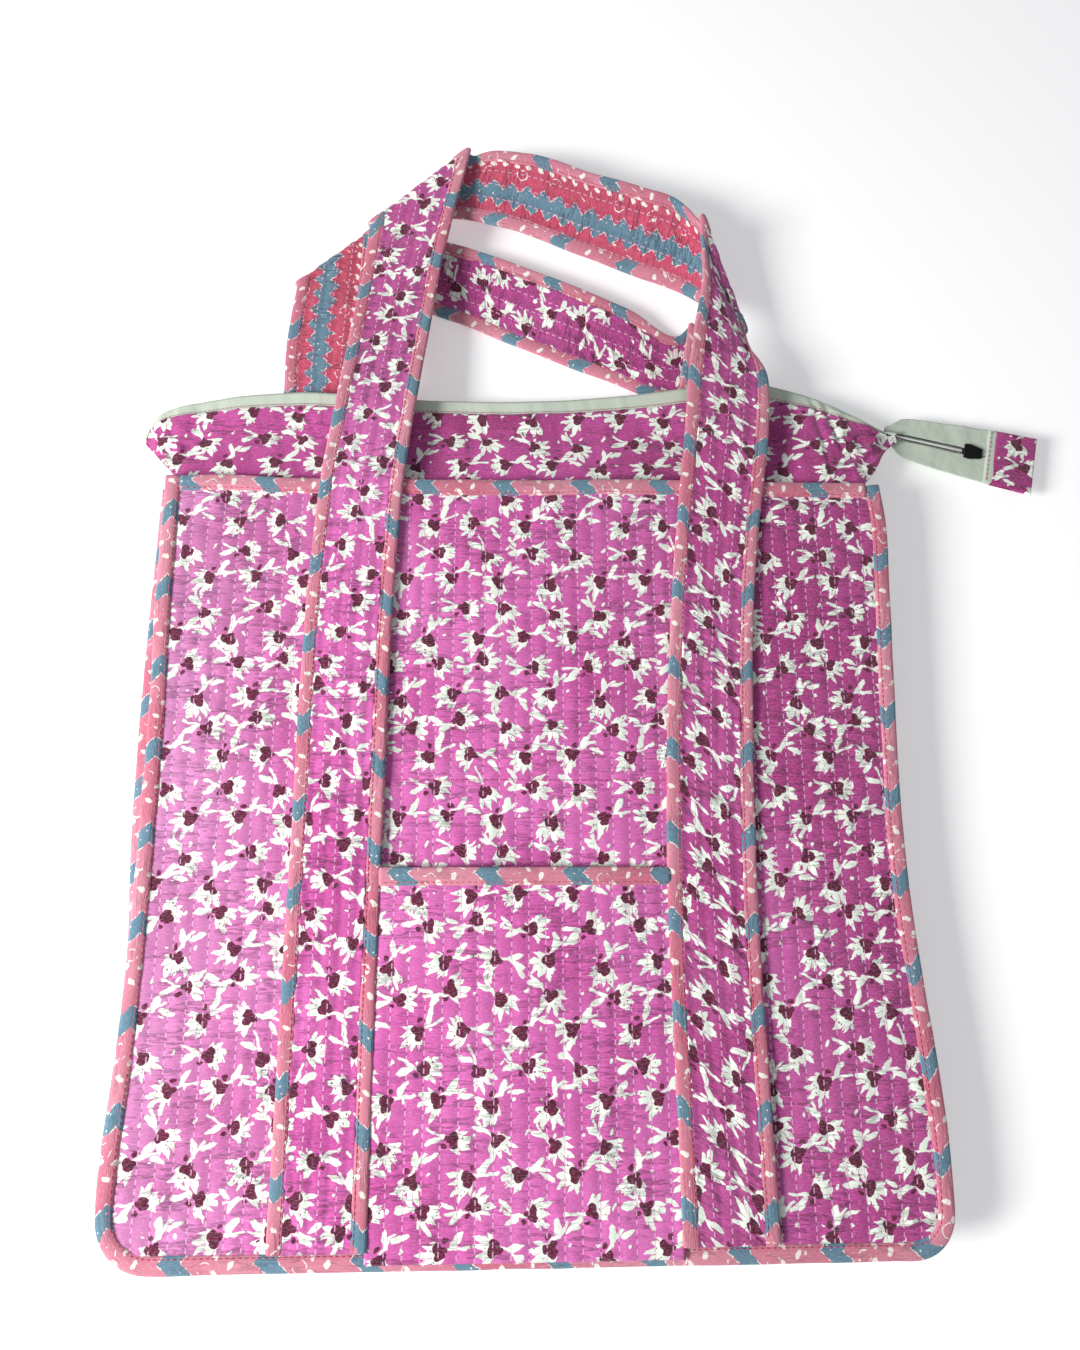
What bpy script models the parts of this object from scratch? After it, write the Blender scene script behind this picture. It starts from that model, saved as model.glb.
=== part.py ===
"""Quilted cotton knitting bag with two folded strap handles and an open zip closure.

The bag lies flat on its back.  X runs across the bag, Y from the bottom edge
up to the handles, Z up from the surface it lies on.  Lengths in metres.
"""
import bpy
import bmesh
import math
import numpy as np
from mathutils import Vector, Matrix

# ---------------------------------------------------------------- sizes
BAG_W = 0.450            # width of the front panel over its binding
BAG_H = 0.443            # height, bottom edge to top of the mouth binding
CORNER_L, CORNER_R = 0.029, 0.024      # bottom corner radii, left and right
BIND_W = 0.0095          # edge binding
MOUTH_W = 0.0105         # mouth binding
GAP = 0.0003             # clearance between touching pieces
Y_SEAT = -0.0048         # whole bag shifted so the rest mark sits under the bottom binding

Z_STRAP_B = (0.0, 0.0035)          # back straps, on the table
Z_PANEL_B = (0.0038, 0.0068)       # back quilted layer
Z_LINING_B = (0.0071, 0.0080)      # back lining
Z_BIND_B = (0.0, 0.0083)           # back edge binding
Z_GUSSET = (0.0086, 0.0217)        # side and bottom strip
Z_BIND_F = (0.0220, 0.0300)        # front edge binding
Z_LINING_F = (0.0243, 0.0252)      # front lining
Z_PANEL_F = (0.0255, 0.0287)       # front quilted layer
Z_STRAP_F = (0.0290, 0.0325)       # front straps sewn on
Z_POCKET = (0.0334, 0.0360)        # slip pocket, standing a little open
POCKET_TOP = 0.205
POCKET_X = (-0.0840, 0.0765)
STRAP_HW = 0.0257                  # half width of strap over its bindings
WEB_HW = 0.0172                    # half width of the quilted web
STRAP_T = 0.0034
FOLD_R = 0.0026                    # radius of the diagonal folds

SEED = 7
rng = np.random.default_rng(SEED)

# ---------------------------------------------------------------- strap lines
# Lines across each strap, as (outer edge, inner edge), x y z of the middle of its thickness.
FRONT_LEFT_FOOT = [((-0.1372, 0.0098, 0.0307), (-0.0858, 0.0098, 0.0307)), ((-0.1362, 0.2190, 0.0307), (-0.0850, 0.2190, 0.0307)),
                   ((-0.1340, 0.3850, 0.0307), (-0.0822, 0.3850, 0.0307))]
FRONT_LEG_L = [((-0.1300, 0.4448, 0.0307), (-0.0788, 0.4448, 0.0307)), ((-0.1245, 0.4900, 0.0288), (-0.0738, 0.4900, 0.0288)),
               ((-0.1182, 0.5450, 0.0232), (-0.0668, 0.5450, 0.0240)), ((-0.1125, 0.5930, 0.0188), (-0.0590, 0.6030, 0.0232))]
FRONT_FOLD_1 = ((-0.1088, 0.6330, 0.0176), (-0.0395, 0.6900, 0.0274))
FRONT_MID = [((-0.0850, 0.6370, 0.0118), (-0.0375, 0.6895, 0.0216)), ((-0.0590, 0.6450, 0.0112), (-0.0320, 0.6910, 0.0220)),
             ((-0.0200, 0.6390, 0.0120), (-0.0020, 0.6880, 0.0245)), ((0.0300, 0.6200, 0.0115), (0.0440, 0.6710, 0.0272)),
             ((0.0720, 0.6030, 0.0112), (0.0800, 0.6590, 0.0288)), ((0.1050, 0.5890, 0.0118), (0.0985, 0.6510, 0.0292))]
FRONT_FOLD_2 = ((0.1420, 0.5540, 0.0225), (0.1135, 0.6350, 0.0370))
FRONT_LEG_R = [((0.1452, 0.5360, 0.0252), (0.1130, 0.5850, 0.0350)), ((0.1530, 0.5215, 0.0280), (0.1065, 0.5500, 0.0335)),
               ((0.1540, 0.5000, 0.0298), (0.1020, 0.5200, 0.0322)), ((0.1525, 0.4830, 0.0305), (0.0990, 0.4900, 0.0312)),
               ((0.1470, 0.4448, 0.0307), (0.0938, 0.4448, 0.0307))]
FRONT_RIGHT_FOOT = [((0.1400, 0.4000, 0.0307), (0.0885, 0.4000, 0.0307)), ((0.1290, 0.2340, 0.0307), (0.0775, 0.2340, 0.0307)),
                    ((0.1300, 0.0098, 0.0307), (0.0785, 0.0098, 0.0307))]
BACK_LEFT_FOOT = [((-0.1507, 0.0098, 0.00175), (-0.0993, 0.0098, 0.00175)), ((-0.1540, 0.2200, 0.00175), (-0.1026, 0.2200, 0.00175)),
                  ((-0.1600, 0.3900, 0.00175), (-0.1088, 0.3900, 0.00175))]
BACK_LEG_L = [((-0.1620, 0.4448, 0.00175), (-0.1110, 0.4448, 0.00175)), ((-0.1625, 0.5000, 0.0045), (-0.1110, 0.5000, 0.0045)),
              ((-0.1622, 0.5520, 0.0061), (-0.1098, 0.5600, 0.0062))]
BACK_FOLD_1 = ((-0.1580, 0.5930, 0.00615), (-0.1060, 0.6380, 0.0075))
BACK_MID = [((-0.1350, 0.5840, 0.00175), (-0.0980, 0.6330, 0.0035)), ((-0.1000, 0.5850, 0.00175), (-0.0830, 0.6330, 0.0060)),
            ((-0.0600, 0.5740, 0.0018), (-0.0480, 0.6240, 0.0100)), ((-0.0100, 0.5530, 0.0018), (0.0080, 0.6030, 0.0115)),
            ((0.0500, 0.5290, 0.0018), (0.0680, 0.5780, 0.0095)), ((0.0980, 0.5120, 0.0018), (0.1040, 0.5640, 0.0026))]
BACK_FOLD_2 = ((0.1440, 0.5150, 0.00615), (0.1085, 0.5690, 0.0075))
BACK_LEG_R = [((0.1462, 0.4880, 0.0050), (0.1000, 0.5180, 0.0060)), ((0.1475, 0.4448, 0.00175), (0.0960, 0.4448, 0.00175))]
BACK_RIGHT_FOOT = [((0.1440, 0.3900, 0.00175), (0.0925, 0.3900, 0.00175)), ((0.1340, 0.2200, 0.00175), (0.0825, 0.2200, 0.00175)),
                   ((0.1307, 0.0098, 0.00175), (0.0793, 0.0098, 0.00175))]


def fold_rows(line, toward, down, n=9):
    """Lines across the strap round one crease: a half turn about a line, bulging away from `toward`."""
    o, i = np.array(line[0]), np.array(line[1])
    d = (i - o)[:2] / np.linalg.norm((i - o)[:2])
    nrm = np.array([-d[1], d[0]])
    mid = (o + i)[:2] / 2
    if nrm @ (mid - np.array(toward)) < 0:
        nrm = -nrm
    rows = []
    for a in np.linspace(0, math.pi, n):
        k = a if down else math.pi - a
        s = np.array([nrm[0] * FOLD_R * math.sin(k), nrm[1] * FOLD_R * math.sin(k), -FOLD_R * (1 - math.cos(k))])
        rows.append((tuple(o + s), tuple(i + s)))
    return rows


class RowStrap:
    """A strap as a smooth surface through its cross lines; t runs along it, v across (outer edge positive)."""

    def __init__(self, foot_l, leg_l, fold1, mid, fold2, leg_r, foot_r):
        f1, f2 = fold_rows(fold1, leg_l[0][0][:2], True), fold_rows(fold2, leg_r[-1][0][:2], False)
        rows = foot_l + leg_l + f1 + mid + f2 + leg_r + foot_r
        self.k_mouth_l = len(foot_l)
        self.k_mouth_r = len(foot_l + leg_l + f1 + mid + f2 + leg_r) - 1
        R = np.array(rows, float)
        c = np.diff(R, axis=0)
        L = np.maximum(np.linalg.norm(c, axis=2, keepdims=True), 1e-6)
        self.t = np.concatenate([[0], np.cumsum(np.maximum(L.mean((1, 2)), 1e-4))])
        way = (c / L / L)[:-1] + (c / L / L)[1:]
        way /= np.linalg.norm(way, axis=2, keepdims=True)
        out, back = (c / L).copy(), (c / L).copy()
        out[1:], back[:-1] = way, way
        # at the first and last line of a fold the cloth slopes only along the crease
        k1, k2 = len(foot_l + leg_l), len(foot_l + leg_l + f1 + mid)
        for k in (k1, k1 + len(f1) - 1, k2, k2 + len(f2) - 1):
            d = R[k, 1] - R[k, 0]
            d = d / np.linalg.norm(d[:2])
            for arr, j in ((back, k - 1), (out, k)):
                w = c[j].copy()
                w[:, 2] = (w[:, :2] @ d[:2]) * d[2]
                arr[j] = w / np.maximum(np.linalg.norm(w, axis=1, keepdims=True), 1e-9)
        self.R, self.out, self.back = R, out * L, back * L
        self.tt = np.linspace(0, self.t[-1], 9001)
        E = self.edges(self.tt)
        seg = np.linalg.norm(np.diff(E, axis=0), axis=2)
        self.len = np.concatenate([np.zeros((1, 2)), np.cumsum(seg, axis=0)])
        self.t_l, self.t_r = self.t[self.k_mouth_l], self.t[self.k_mouth_r]
        zero = [np.interp(self.t_l, self.tt, self.len[:, j]) for j in (0, 1)]
        self.len -= np.array(zero)

    def edges(self, t):
        k = np.clip(np.searchsorted(self.t, t, side="right") - 1, 0, len(self.t) - 2)
        s = ((t - self.t[k]) / (self.t[k + 1] - self.t[k]))[..., None, None]
        return ((2 * s ** 3 - 3 * s ** 2 + 1) * self.R[k] + (s ** 3 - 2 * s ** 2 + s) * self.out[k]
                + (-2 * s ** 3 + 3 * s ** 2) * self.R[k + 1] + (s ** 3 - s ** 2) * self.back[k])

    def at(self, t, v):
        E = self.edges(t)
        w = ((STRAP_HW - v) / (2 * STRAP_HW))[..., None]
        return E[..., 0, :] * (1 - w) + E[..., 1, :] * w

    def length(self, t, v):
        w = (STRAP_HW - v) / (2 * STRAP_HW)
        return np.interp(t, self.tt, self.len[:, 0]) * (1 - w) + np.interp(t, self.tt, self.len[:, 1]) * w

    def across(self, t, v):
        e = 4e-5
        a = self.at(t + e, v) - self.at(t - e, v)
        b = self.at(t, v + 1e-4) - self.at(t, v - 1e-4)
        n = np.cross(a, b)
        return n / np.maximum(np.linalg.norm(n, axis=-1, keepdims=True), 1e-12)


FRONT_STRAP = RowStrap(FRONT_LEFT_FOOT, FRONT_LEG_L, FRONT_FOLD_1, FRONT_MID, FRONT_FOLD_2, FRONT_LEG_R, FRONT_RIGHT_FOOT)
BACK_STRAP = RowStrap(BACK_LEFT_FOOT, BACK_LEG_L, BACK_FOLD_1, BACK_MID, BACK_FOLD_2, BACK_LEG_R, BACK_RIGHT_FOOT)

# ---------------------------------------------------------------- scene
for ob in list(bpy.data.objects):
    bpy.data.objects.remove(ob, do_unlink=True)
for me in list(bpy.data.meshes):
    bpy.data.meshes.remove(me)
for co in list(bpy.data.collections):
    bpy.data.collections.remove(co)

PARTS = bpy.data.collections.new("knitting_bag")
CUT = bpy.data.collections.new("cutters")
bpy.context.scene.collection.children.link(PARTS)
bpy.context.scene.collection.children.link(CUT)


def material(name, rgb, rough, metal=0.0):
    m = bpy.data.materials.new(name)
    m.use_nodes = True
    b = m.node_tree.nodes["Principled BSDF"]
    b.inputs["Base Color"].default_value = (*rgb, 1.0)
    b.inputs["Roughness"].default_value = rough
    b.inputs["Metallic"].default_value = metal
    m.diffuse_color = (*rgb, 1.0)
    return m


PRINT = material("print_cotton", (0.56, 0.08, 0.33), 0.85)
TRIM = material("trim_cotton", (0.80, 0.20, 0.28), 0.85)
LINING = material("lining_cotton", (0.72, 0.15, 0.24), 0.85)
TAPE = material("zip_tape", (0.72, 0.74, 0.64), 0.8)
COIL = material("zip_coil", (0.05, 0.045, 0.04), 0.45)
METAL = material("slider_metal", (0.03, 0.03, 0.03), 0.4, 0.8)


def adopt(me, name, mat, origin=(0, 0, 0), smooth=False):
    """Object from a mesh given in bag coordinates, its origin put at `origin`."""
    o = Vector(origin)
    me.transform(Matrix.Translation(-o))
    ob = bpy.data.objects.new(name, me)
    ob.location = o + Vector((0, Y_SEAT, 0))
    me.name = name
    me.materials.clear()
    me.materials.append(mat)
    if smooth:
        for p in me.polygons:
            p.use_smooth = True
    PARTS.objects.link(ob)
    return ob


def outline_mesh(loops, z0, z1):
    """Filled flat outline extruded from z0 to z1 (first loop outer, others holes)."""
    cu = bpy.data.curves.new("outline", "CURVE")
    cu.dimensions = "2D"
    cu.fill_mode = "BOTH"
    cu.extrude = (z1 - z0) / 2
    for loop in loops:
        sp = cu.splines.new("POLY")
        sp.points.add(len(loop) - 1)
        for i, p in enumerate(loop):
            sp.points[i].co = (p[0], p[1], 0, 1)
        sp.use_cyclic_u = True
    tmp = bpy.data.objects.new("outline", cu)
    bpy.context.scene.collection.objects.link(tmp)
    bpy.context.view_layer.update()
    me = bpy.data.meshes.new_from_object(tmp)
    bpy.data.objects.remove(tmp, do_unlink=True)
    bm = bmesh.new()
    bm.from_mesh(me)
    bmesh.ops.remove_doubles(bm, verts=bm.verts, dist=1e-5)
    bmesh.ops.translate(bm, verts=bm.verts, vec=(0, 0, (z0 + z1) / 2))
    bmesh.ops.dissolve_limit(bm, angle_limit=0.001, verts=bm.verts, edges=bm.edges)
    bmesh.ops.recalc_face_normals(bm, faces=bm.faces)
    bm.to_mesh(me)
    bm.free()
    return me


def plate(name, loop, z, mat, bevel=0.0008, origin=(0, 0, 0), holes=()):
    me = outline_mesh([loop, *holes], z[0], z[1])
    ob = adopt(me, name, mat, origin)
    if bevel:
        md = ob.modifiers.new("soft_edge", "BEVEL")
        md.width = bevel
        md.segments = 1
        md.limit_method = "ANGLE"
        md.angle_limit = math.radians(50)
    return ob


def rect(x0, x1, y0, y1):
    return [(x0, y0), (x1, y0), (x1, y1), (x0, y1)]


def arc(cx, cy, r, a0, a1, n):
    return [(cx + r * math.cos(a0 + (a1 - a0) * i / n), cy + r * math.sin(a0 + (a1 - a0) * i / n)) for i in range(n + 1)]


def u_path(inset, sides, top, n=7):
    """Bag outline from top left, round the bottom corners, to top right."""
    left, right = sides
    rl, rr = CORNER_L - inset, CORNER_R - inset
    pts = [(left(y) + inset, y) for y in (top, 0.36, 0.30, 0.21, 0.14, 0.10, 0.06)]
    xl, xr = left(0.04) + inset, right(0.03) - inset
    pts += arc(xl + rl, inset + rl, rl, math.pi, 1.5 * math.pi, n)
    pts += arc(xr - rr, inset + rr, rr, 1.5 * math.pi, 2 * math.pi, n)
    pts += [(right(y) - inset, y) for y in (0.055, 0.10, 0.14, 0.18, 0.23, 0.30, 0.42, top)]
    return pts


# Side edges as (height, x). Both sides of the soft bag are drawn in at mid height; the back half
# lies a little further out along the upper left side.
def left_front(y):
    return float(np.interp(y, [0.04, 0.06, 0.10, 0.14, 0.21, 0.30, 0.36, 0.443],
                           [-0.2266, -0.2264, -0.2236, -0.2225, -0.2220, -0.2228, -0.2252, -0.2258]))


def left_back(y):
    return float(np.interp(y, [0.04, 0.06, 0.10, 0.14, 0.21, 0.30, 0.36, 0.443],
                           [-0.2262, -0.2262, -0.2262, -0.2285, -0.2338, -0.2358, -0.2356, -0.2350]))


def right_front(y):
    return float(np.interp(y, [0.03, 0.055, 0.10, 0.14, 0.18, 0.23, 0.30, 0.42, 0.443],
                           [0.2262, 0.2268, 0.2240, 0.2208, 0.2175, 0.2165, 0.2188, 0.2244, 0.2210]))


def right_back(y):
    return float(np.interp(y, [0.03, 0.055, 0.10, 0.14, 0.18, 0.23, 0.30, 0.42, 0.443],
                           [0.2258, 0.2264, 0.2246, 0.2232, 0.2218, 0.2212, 0.2226, 0.2250, 0.2230]))


FRONT_SIDES, BACK_SIDES = (left_front, right_front), (left_back, right_back)


def edge_binding(name, sides, z, w=BIND_W, origin=(0, 0, 0)):
    outer = u_path(0.0, sides, BAG_H)
    inner = u_path(w, sides, BAG_H)
    return plate(name, outer + inner[::-1], z, TRIM, 0.0016, origin)


def panel_loop(sides, top, inset=BIND_W + GAP):
    return u_path(inset, sides, top)


# ---------------------------------------------------------------- back half
TOP_P = BAG_H - MOUTH_W - GAP
plate("back_panel", panel_loop(BACK_SIDES, TOP_P), Z_PANEL_B, PRINT, 0.0)
plate("back_lining", panel_loop(BACK_SIDES, TOP_P), Z_LINING_B, LINING, 0.0)
edge_binding("back_edge_binding", BACK_SIDES, Z_BIND_B)
plate("back_mouth_binding", rect(left_back(0.40) + BIND_W + GAP, right_back(0.443) - BIND_W - GAP, BAG_H - MOUTH_W, BAG_H),
      (0.0038, 0.0083), TRIM, 0.0012)
# side and bottom strip between the two halves
g_out = u_path(0.0040, FRONT_SIDES, BAG_H - 0.004)
g_in = u_path(0.0062, FRONT_SIDES, BAG_H - 0.004)
plate("gusset_strip", g_out + g_in[::-1], Z_GUSSET, PRINT, 0.0)


Y_HINGE = 0.4445


def sewn_strap(prefix, S, left, z, origin=(0, 0, 0)):
    """Strap stitched to a panel: quilted web and a binding along each side."""
    ks = range(0, S.k_mouth_l + 1) if left else range(S.k_mouth_r, len(S.t))
    t = S.t[list(ks)]
    for nm, v0, v1, mat, bev in (("_web", -WEB_HW, WEB_HW, PRINT, 0.0), ("_binding_outer", WEB_HW + GAP, STRAP_HW, TRIM, 0.0010),
                                 ("_binding_inner", -STRAP_HW, -WEB_HW - GAP, TRIM, 0.0010)):
        a = S.at(t, np.full(len(t), v0))[:, :2]
        b = S.at(t, np.full(len(t), v1))[:, :2]
        loop = [(x, min(y, Y_HINGE)) for x, y in a] + [(x, min(y, Y_HINGE)) for x, y in b[::-1]]
        plate(prefix + nm, loop, z, mat, bev, origin)


sewn_strap("back_strap_left", BACK_STRAP, True, Z_STRAP_B)
sewn_strap("back_strap_right", BACK_STRAP, False, Z_STRAP_B)

# ---------------------------------------------------------------- front half
FO = (0.0, -0.0005, 0.0215)        # line the front half opens about
plate("front_panel", panel_loop(FRONT_SIDES, TOP_P), Z_PANEL_F, PRINT, 0.0, FO)
plate("front_lining", panel_loop(FRONT_SIDES, TOP_P), Z_LINING_F, LINING, 0.0, FO)
edge_binding("front_edge_binding", FRONT_SIDES, Z_BIND_F, origin=FO)
plate("front_mouth_binding", rect(left_front(0.40) + BIND_W + GAP, right_front(0.443) - BIND_W - GAP, BAG_H - MOUTH_W, BAG_H),
      (0.0240, 0.0287), TRIM, 0.0012, FO)
sewn_strap("front_strap_left", FRONT_STRAP, True, Z_STRAP_F, FO)
sewn_strap("front_strap_right", FRONT_STRAP, False, Z_STRAP_F, FO)
plate("slip_pocket", rect(POCKET_X[0], POCKET_X[1], BIND_W + GAP, POCKET_TOP - 0.0103), Z_POCKET, PRINT, 0.0, FO)
plate("slip_pocket_binding", rect(POCKET_X[0], POCKET_X[1], POCKET_TOP - 0.0100, POCKET_TOP),
      (Z_POCKET[0] - 0.0002, Z_POCKET[1] + 0.0004), TRIM, 0.0010, FO)

# ---------------------------------------------------------------- zip closure strips above the mouth
# top line of the closure, left end to right neck
TOP_LINE = [(-0.243, 0.474), (-0.240, 0.4875), (-0.219, 0.494), (-0.187, 0.500), (-0.147, 0.504), (-0.070, 0.503),
            (0.019, 0.504), (0.105, 0.514), (0.157, 0.519), (0.185, 0.510), (0.215, 0.496), (0.2345, 0.486)]
LOW_LINE = [(0.2345, 0.478), (0.221, 0.4495), (0.214, 0.4436), (-0.2145, 0.4436), (-0.224, 0.452)]
TAPE_D = 0.0072          # depth of zip tape showing above the cloth


def closure(prefix, z_low, z_high, origin=(0, 0, 0)):
    def zed(y):
        return float(np.interp(y, [0.4436, 0.475], [z_low, z_high]))
    cloth_top = [(x, y - TAPE_D) for x, y in TOP_LINE]
    cloth_top[0] = (TOP_LINE[0][0], TOP_LINE[0][1] - 0.001)
    cloth_top[-1] = (TOP_LINE[-1][0], TOP_LINE[-1][1] - 0.003)
    cloth = cloth_top + LOW_LINE
    tape = TOP_LINE + [(x, y - TAPE_D + GAP) for x, y in TOP_LINE[::-1]]
    tape = TOP_LINE[1:] + [(x, y - TAPE_D + GAP * 1.2) for x, y in TOP_LINE[1:-1][::-1]]
    coil = [(x, y + 0.0003) for x, y in TOP_LINE[2:-1]] + [(x, y + 0.0019) for x, y in TOP_LINE[2:-1][::-1]]
    for nm, loop, mat, t in ((prefix + "_strip", cloth, PRINT, 0.0016), ("zip_tape_" + prefix[8:], tape, TAPE, 0.0012),
                             ("zip_coil_" + prefix[8:], coil, COIL, 0.0015)):
        ob = plate(nm, loop, (0.0, t), mat, 0.0, (0, 0, 0))
        me = ob.data
        bm = bmesh.new()
        bm.from_mesh(me)
        bmesh.ops.bisect_plane(bm, geom=bm.verts[:] + bm.edges[:] + bm.faces[:], plane_co=(0, 0.475, 0), plane_no=(0, 1, 0))
        for v in bm.verts:
            v.co.z += zed(v.co.y)
        bm.to_mesh(me)
        bm.free()
        o = Vector(origin)
        me.transform(Matrix.Translation(-o))
        ob.location = o + Vector((0, Y_SEAT, 0))


closure("closure_back", 0.0088, 0.0095)
closure("closure_front", 0.0205, 0.0165, FO)


# ---------------------------------------------------------------- handles
# One flat strap per handle: it leaves the mouth, folds back on itself along a
# diagonal crease, crosses, folds again and comes back to the mouth.
def handle(side, S, origin):
    ks = [k for k in range(S.k_mouth_l, S.k_mouth_r)]
    ts = []
    for k in ks:
        n = max(1, math.ceil((S.t[k + 1] - S.t[k]) / 0.012))
        ts += list(np.linspace(S.t[k], S.t[k + 1], n + 1)[:-1])
    ts = np.array(ts + [S.t[S.k_mouth_r]])

    def ribbon(name, v0, v1, cols, mat, thick):
        # lofted strap: the same rows on both faces, closed round the edge
        bm = bmesh.new()
        top, low = [], []
        for t in ts:
            for j in range(cols + 1):
                tv, v = np.array(t), np.array(v0 + (v1 - v0) * j / cols)
                p = S.at(tv, v)
                n = S.across(tv, v) * thick / 2
                q0, q1 = p + n, p - n
                q0[1], q1[1] = max(q0[1], Y_HINGE + GAP), max(q1[1], Y_HINGE + GAP)
                top.append(bm.verts.new(q0))
                low.append(bm.verts.new(q1))
        c, m = cols + 1, len(ts)
        for i in range(m - 1):
            for j in range(cols):
                k = i * c + j
                bm.faces.new((top[k], top[k + c], top[k + c + 1], top[k + 1]))
                bm.faces.new((low[k], low[k + 1], low[k + c + 1], low[k + c]))
        rim = [j for j in range(cols)] + [i * c + cols for i in range(m - 1)]
        rim += [(m - 1) * c + j for j in range(cols, 0, -1)] + [i * c for i in range(m - 1, 0, -1)]
        for a_, b_ in zip(rim, rim[1:] + rim[:1]):
            bm.faces.new((top[a_], top[b_], low[b_], low[a_]))
        bmesh.ops.triangulate(bm, faces=bm.faces, quad_method="FIXED")
        bmesh.ops.recalc_face_normals(bm, faces=bm.faces)
        me = bpy.data.meshes.new(name)
        bm.to_mesh(me)
        bm.free()
        adopt(me, name, mat, origin)
    ribbon(side + "_handle_web", -WEB_HW, WEB_HW, 6, PRINT, STRAP_T)
    ribbon(side + "_handle_binding_outer", WEB_HW + 0.0008, STRAP_HW, 2, TRIM, STRAP_T)
    ribbon(side + "_handle_binding_inner", -STRAP_HW, -WEB_HW - 0.0006, 2, TRIM, STRAP_T)


deg = math.radians
handle("front", FRONT_STRAP, (0.0, Y_HINGE, Z_STRAP_F[1] + GAP))
handle("back", BACK_STRAP, (0.0, Y_HINGE, -GAP))

# ---------------------------------------------------------------- zip tail
NECK = (0.2400, 0.4880)
TAIL_A = deg(-12.8)
TAIL_Z = 0.0088
SL0, SL1 = 0.0505, 0.0625      # slider along the tail
CA, SA = math.cos(TAIL_A), math.sin(TAIL_A)


def tail(a, b):
    return (NECK[0] + a * CA - b * SA, NECK[1] + a * SA + b * CA)


def tail_plate(name, loop, z, mat, bevel, origin=None):
    o = origin or (*NECK, TAIL_Z)
    return plate(name, [tail(a, b) for a, b in loop], (TAIL_Z + z[0], TAIL_Z + z[1]), mat, bevel, o)


TT = 0.0006
tail_plate("tail_tape_front", [(0, -0.0020), (0.010, -0.0031), (0.061, -0.0031), (0.0645, -0.0004), (0.0662, -0.0004),
                               (0.0662, -0.0195), (0.050, -0.0185), (0.030, -0.0170), (0.012, -0.0150), (0, -0.0085)], (-TT, TT), TAPE, 0.0)
tail_plate("tail_tape_back", [(0, 0.0020), (0.010, 0.0031), (0.061, 0.0031), (0.0645, 0.0004), (0.0662, 0.0004),
                              (0.0662, 0.0195), (0.050, 0.0180), (0.030, 0.0165), (0.012, 0.0150), (0, 0.0085)], (-TT, TT), TAPE, 0.0)
tail_plate("tail_coil_front", [(0.012, -0.0028), (0.060, -0.0028), (0.060, -0.0016), (0.012, -0.0016)], (-0.0008, 0.0008), COIL, 0.0)
tail_plate("tail_coil_back", [(0.012, 0.0028), (0.060, 0.0028), (0.060, 0.0016), (0.012, 0.0016)], (-0.0008, 0.0008), COIL, 0.0)
tail_plate("tail_stitched_fold", [(0.0665, -0.0198), (0.0700, -0.0200), (0.0700, 0.0200), (0.0665, 0.0198)], (-0.0013, 0.0013), TAPE, 0.0005)
tail_plate("tail_end_tab", [(0.0703, -0.0202), (0.0970, -0.0210), (0.0990, -0.0193), (0.0990, 0.0193), (0.0970, 0.0210), (0.0703, 0.0202)],
           (-0.0016, 0.0016), PRINT, 0.0006)

# slider: two plates joined by a post between the coils, with a loop below for the pull
so = (*tail((SL0 + SL1) / 2, 0), TAIL_Z)
shape = [(SL0, -0.0049), (SL0 + 0.004, -0.0052), (SL1 - 0.001, -0.0036), (SL1, -0.0030), (SL1, 0.0030), (SL1 - 0.001, 0.0036),
         (SL0 + 0.004, 0.0052), (SL0, 0.0049)]
slider = tail_plate("slider_body", shape, (0.0011, 0.0021), METAL, 0.0, so)


def cutter(me, name):
    ob = bpy.data.objects.new(name, me)
    ob.display_type = "WIRE"
    ob.hide_render = True
    ob.location = (0, Y_SEAT, 0)
    CUT.objects.link(ob)
    return ob


def join_in(target, me, name, op="UNION"):
    c = cutter(me, name)
    md = target.modifiers.new(name, "BOOLEAN")
    md.operation = op
    md.solver = "EXACT"
    md.object = c


def tail_block(a0, a1, b0, b1, z0, z1):
    return outline_mesh([[tail(a, b) for a, b in ((a0, b0), (a1, b0), (a1, b1), (a0, b1))]], TAIL_Z + z0, TAIL_Z + z1)


join_in(slider, outline_mesh([[tail(a, b) for a, b in shape]], TAIL_Z - 0.0021, TAIL_Z - 0.0011), "slider_lower_plate")
join_in(slider, tail_block(SL0 + 0.001, SL0 + 0.005, -0.0005, 0.0005, -0.0016, 0.0016), "slider_post")
PIV_A, PIV_Z = SL0 + 0.004, -0.0042
join_in(slider, tail_block(PIV_A - 0.001, PIV_A + 0.001, 0.0028, 0.0038, -0.0050, -0.0016), "slider_lug_a")
join_in(slider, tail_block(PIV_A - 0.001, PIV_A + 0.001, -0.0038, -0.0028, -0.0050, -0.0016), "slider_lug_b")


def tail_rod(a, z, r, b0, b1, n=12):
    bpy.ops.mesh.primitive_cylinder_add(vertices=n, radius=r, depth=b1 - b0)
    ob = bpy.context.object
    me = ob.data
    m = Matrix.Translation((*tail(a, (b0 + b1) / 2), TAIL_Z + z)) @ Matrix.Rotation(TAIL_A, 4, "Z") @ Matrix.Rotation(math.pi / 2, 4, "X")
    bpy.data.objects.remove(ob, do_unlink=True)
    me.transform(m)
    return me


join_in(slider, tail_rod(PIV_A, PIV_Z, 0.0005, -0.0033, 0.0033), "slider_pin")

piv = (*tail(PIV_A, 0), TAIL_Z + PIV_Z)
pull = adopt(tail_rod(PIV_A, PIV_Z, 0.0015, -0.0024, 0.0024, 16), "slider_pull", METAL, piv)
join_in(pull, tail_block(PIV_A + 0.0008, PIV_A + 0.022, -0.0024, 0.0024, PIV_Z - 0.0007, PIV_Z + 0.0007), "pull_tongue")
join_in(pull, tail_rod(PIV_A, PIV_Z, 0.0009, -0.004, 0.004, 16), "pull_eye", "DIFFERENCE")
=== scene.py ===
import math

import bpy
import numpy as np
from mathutils import Matrix, Vector


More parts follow.
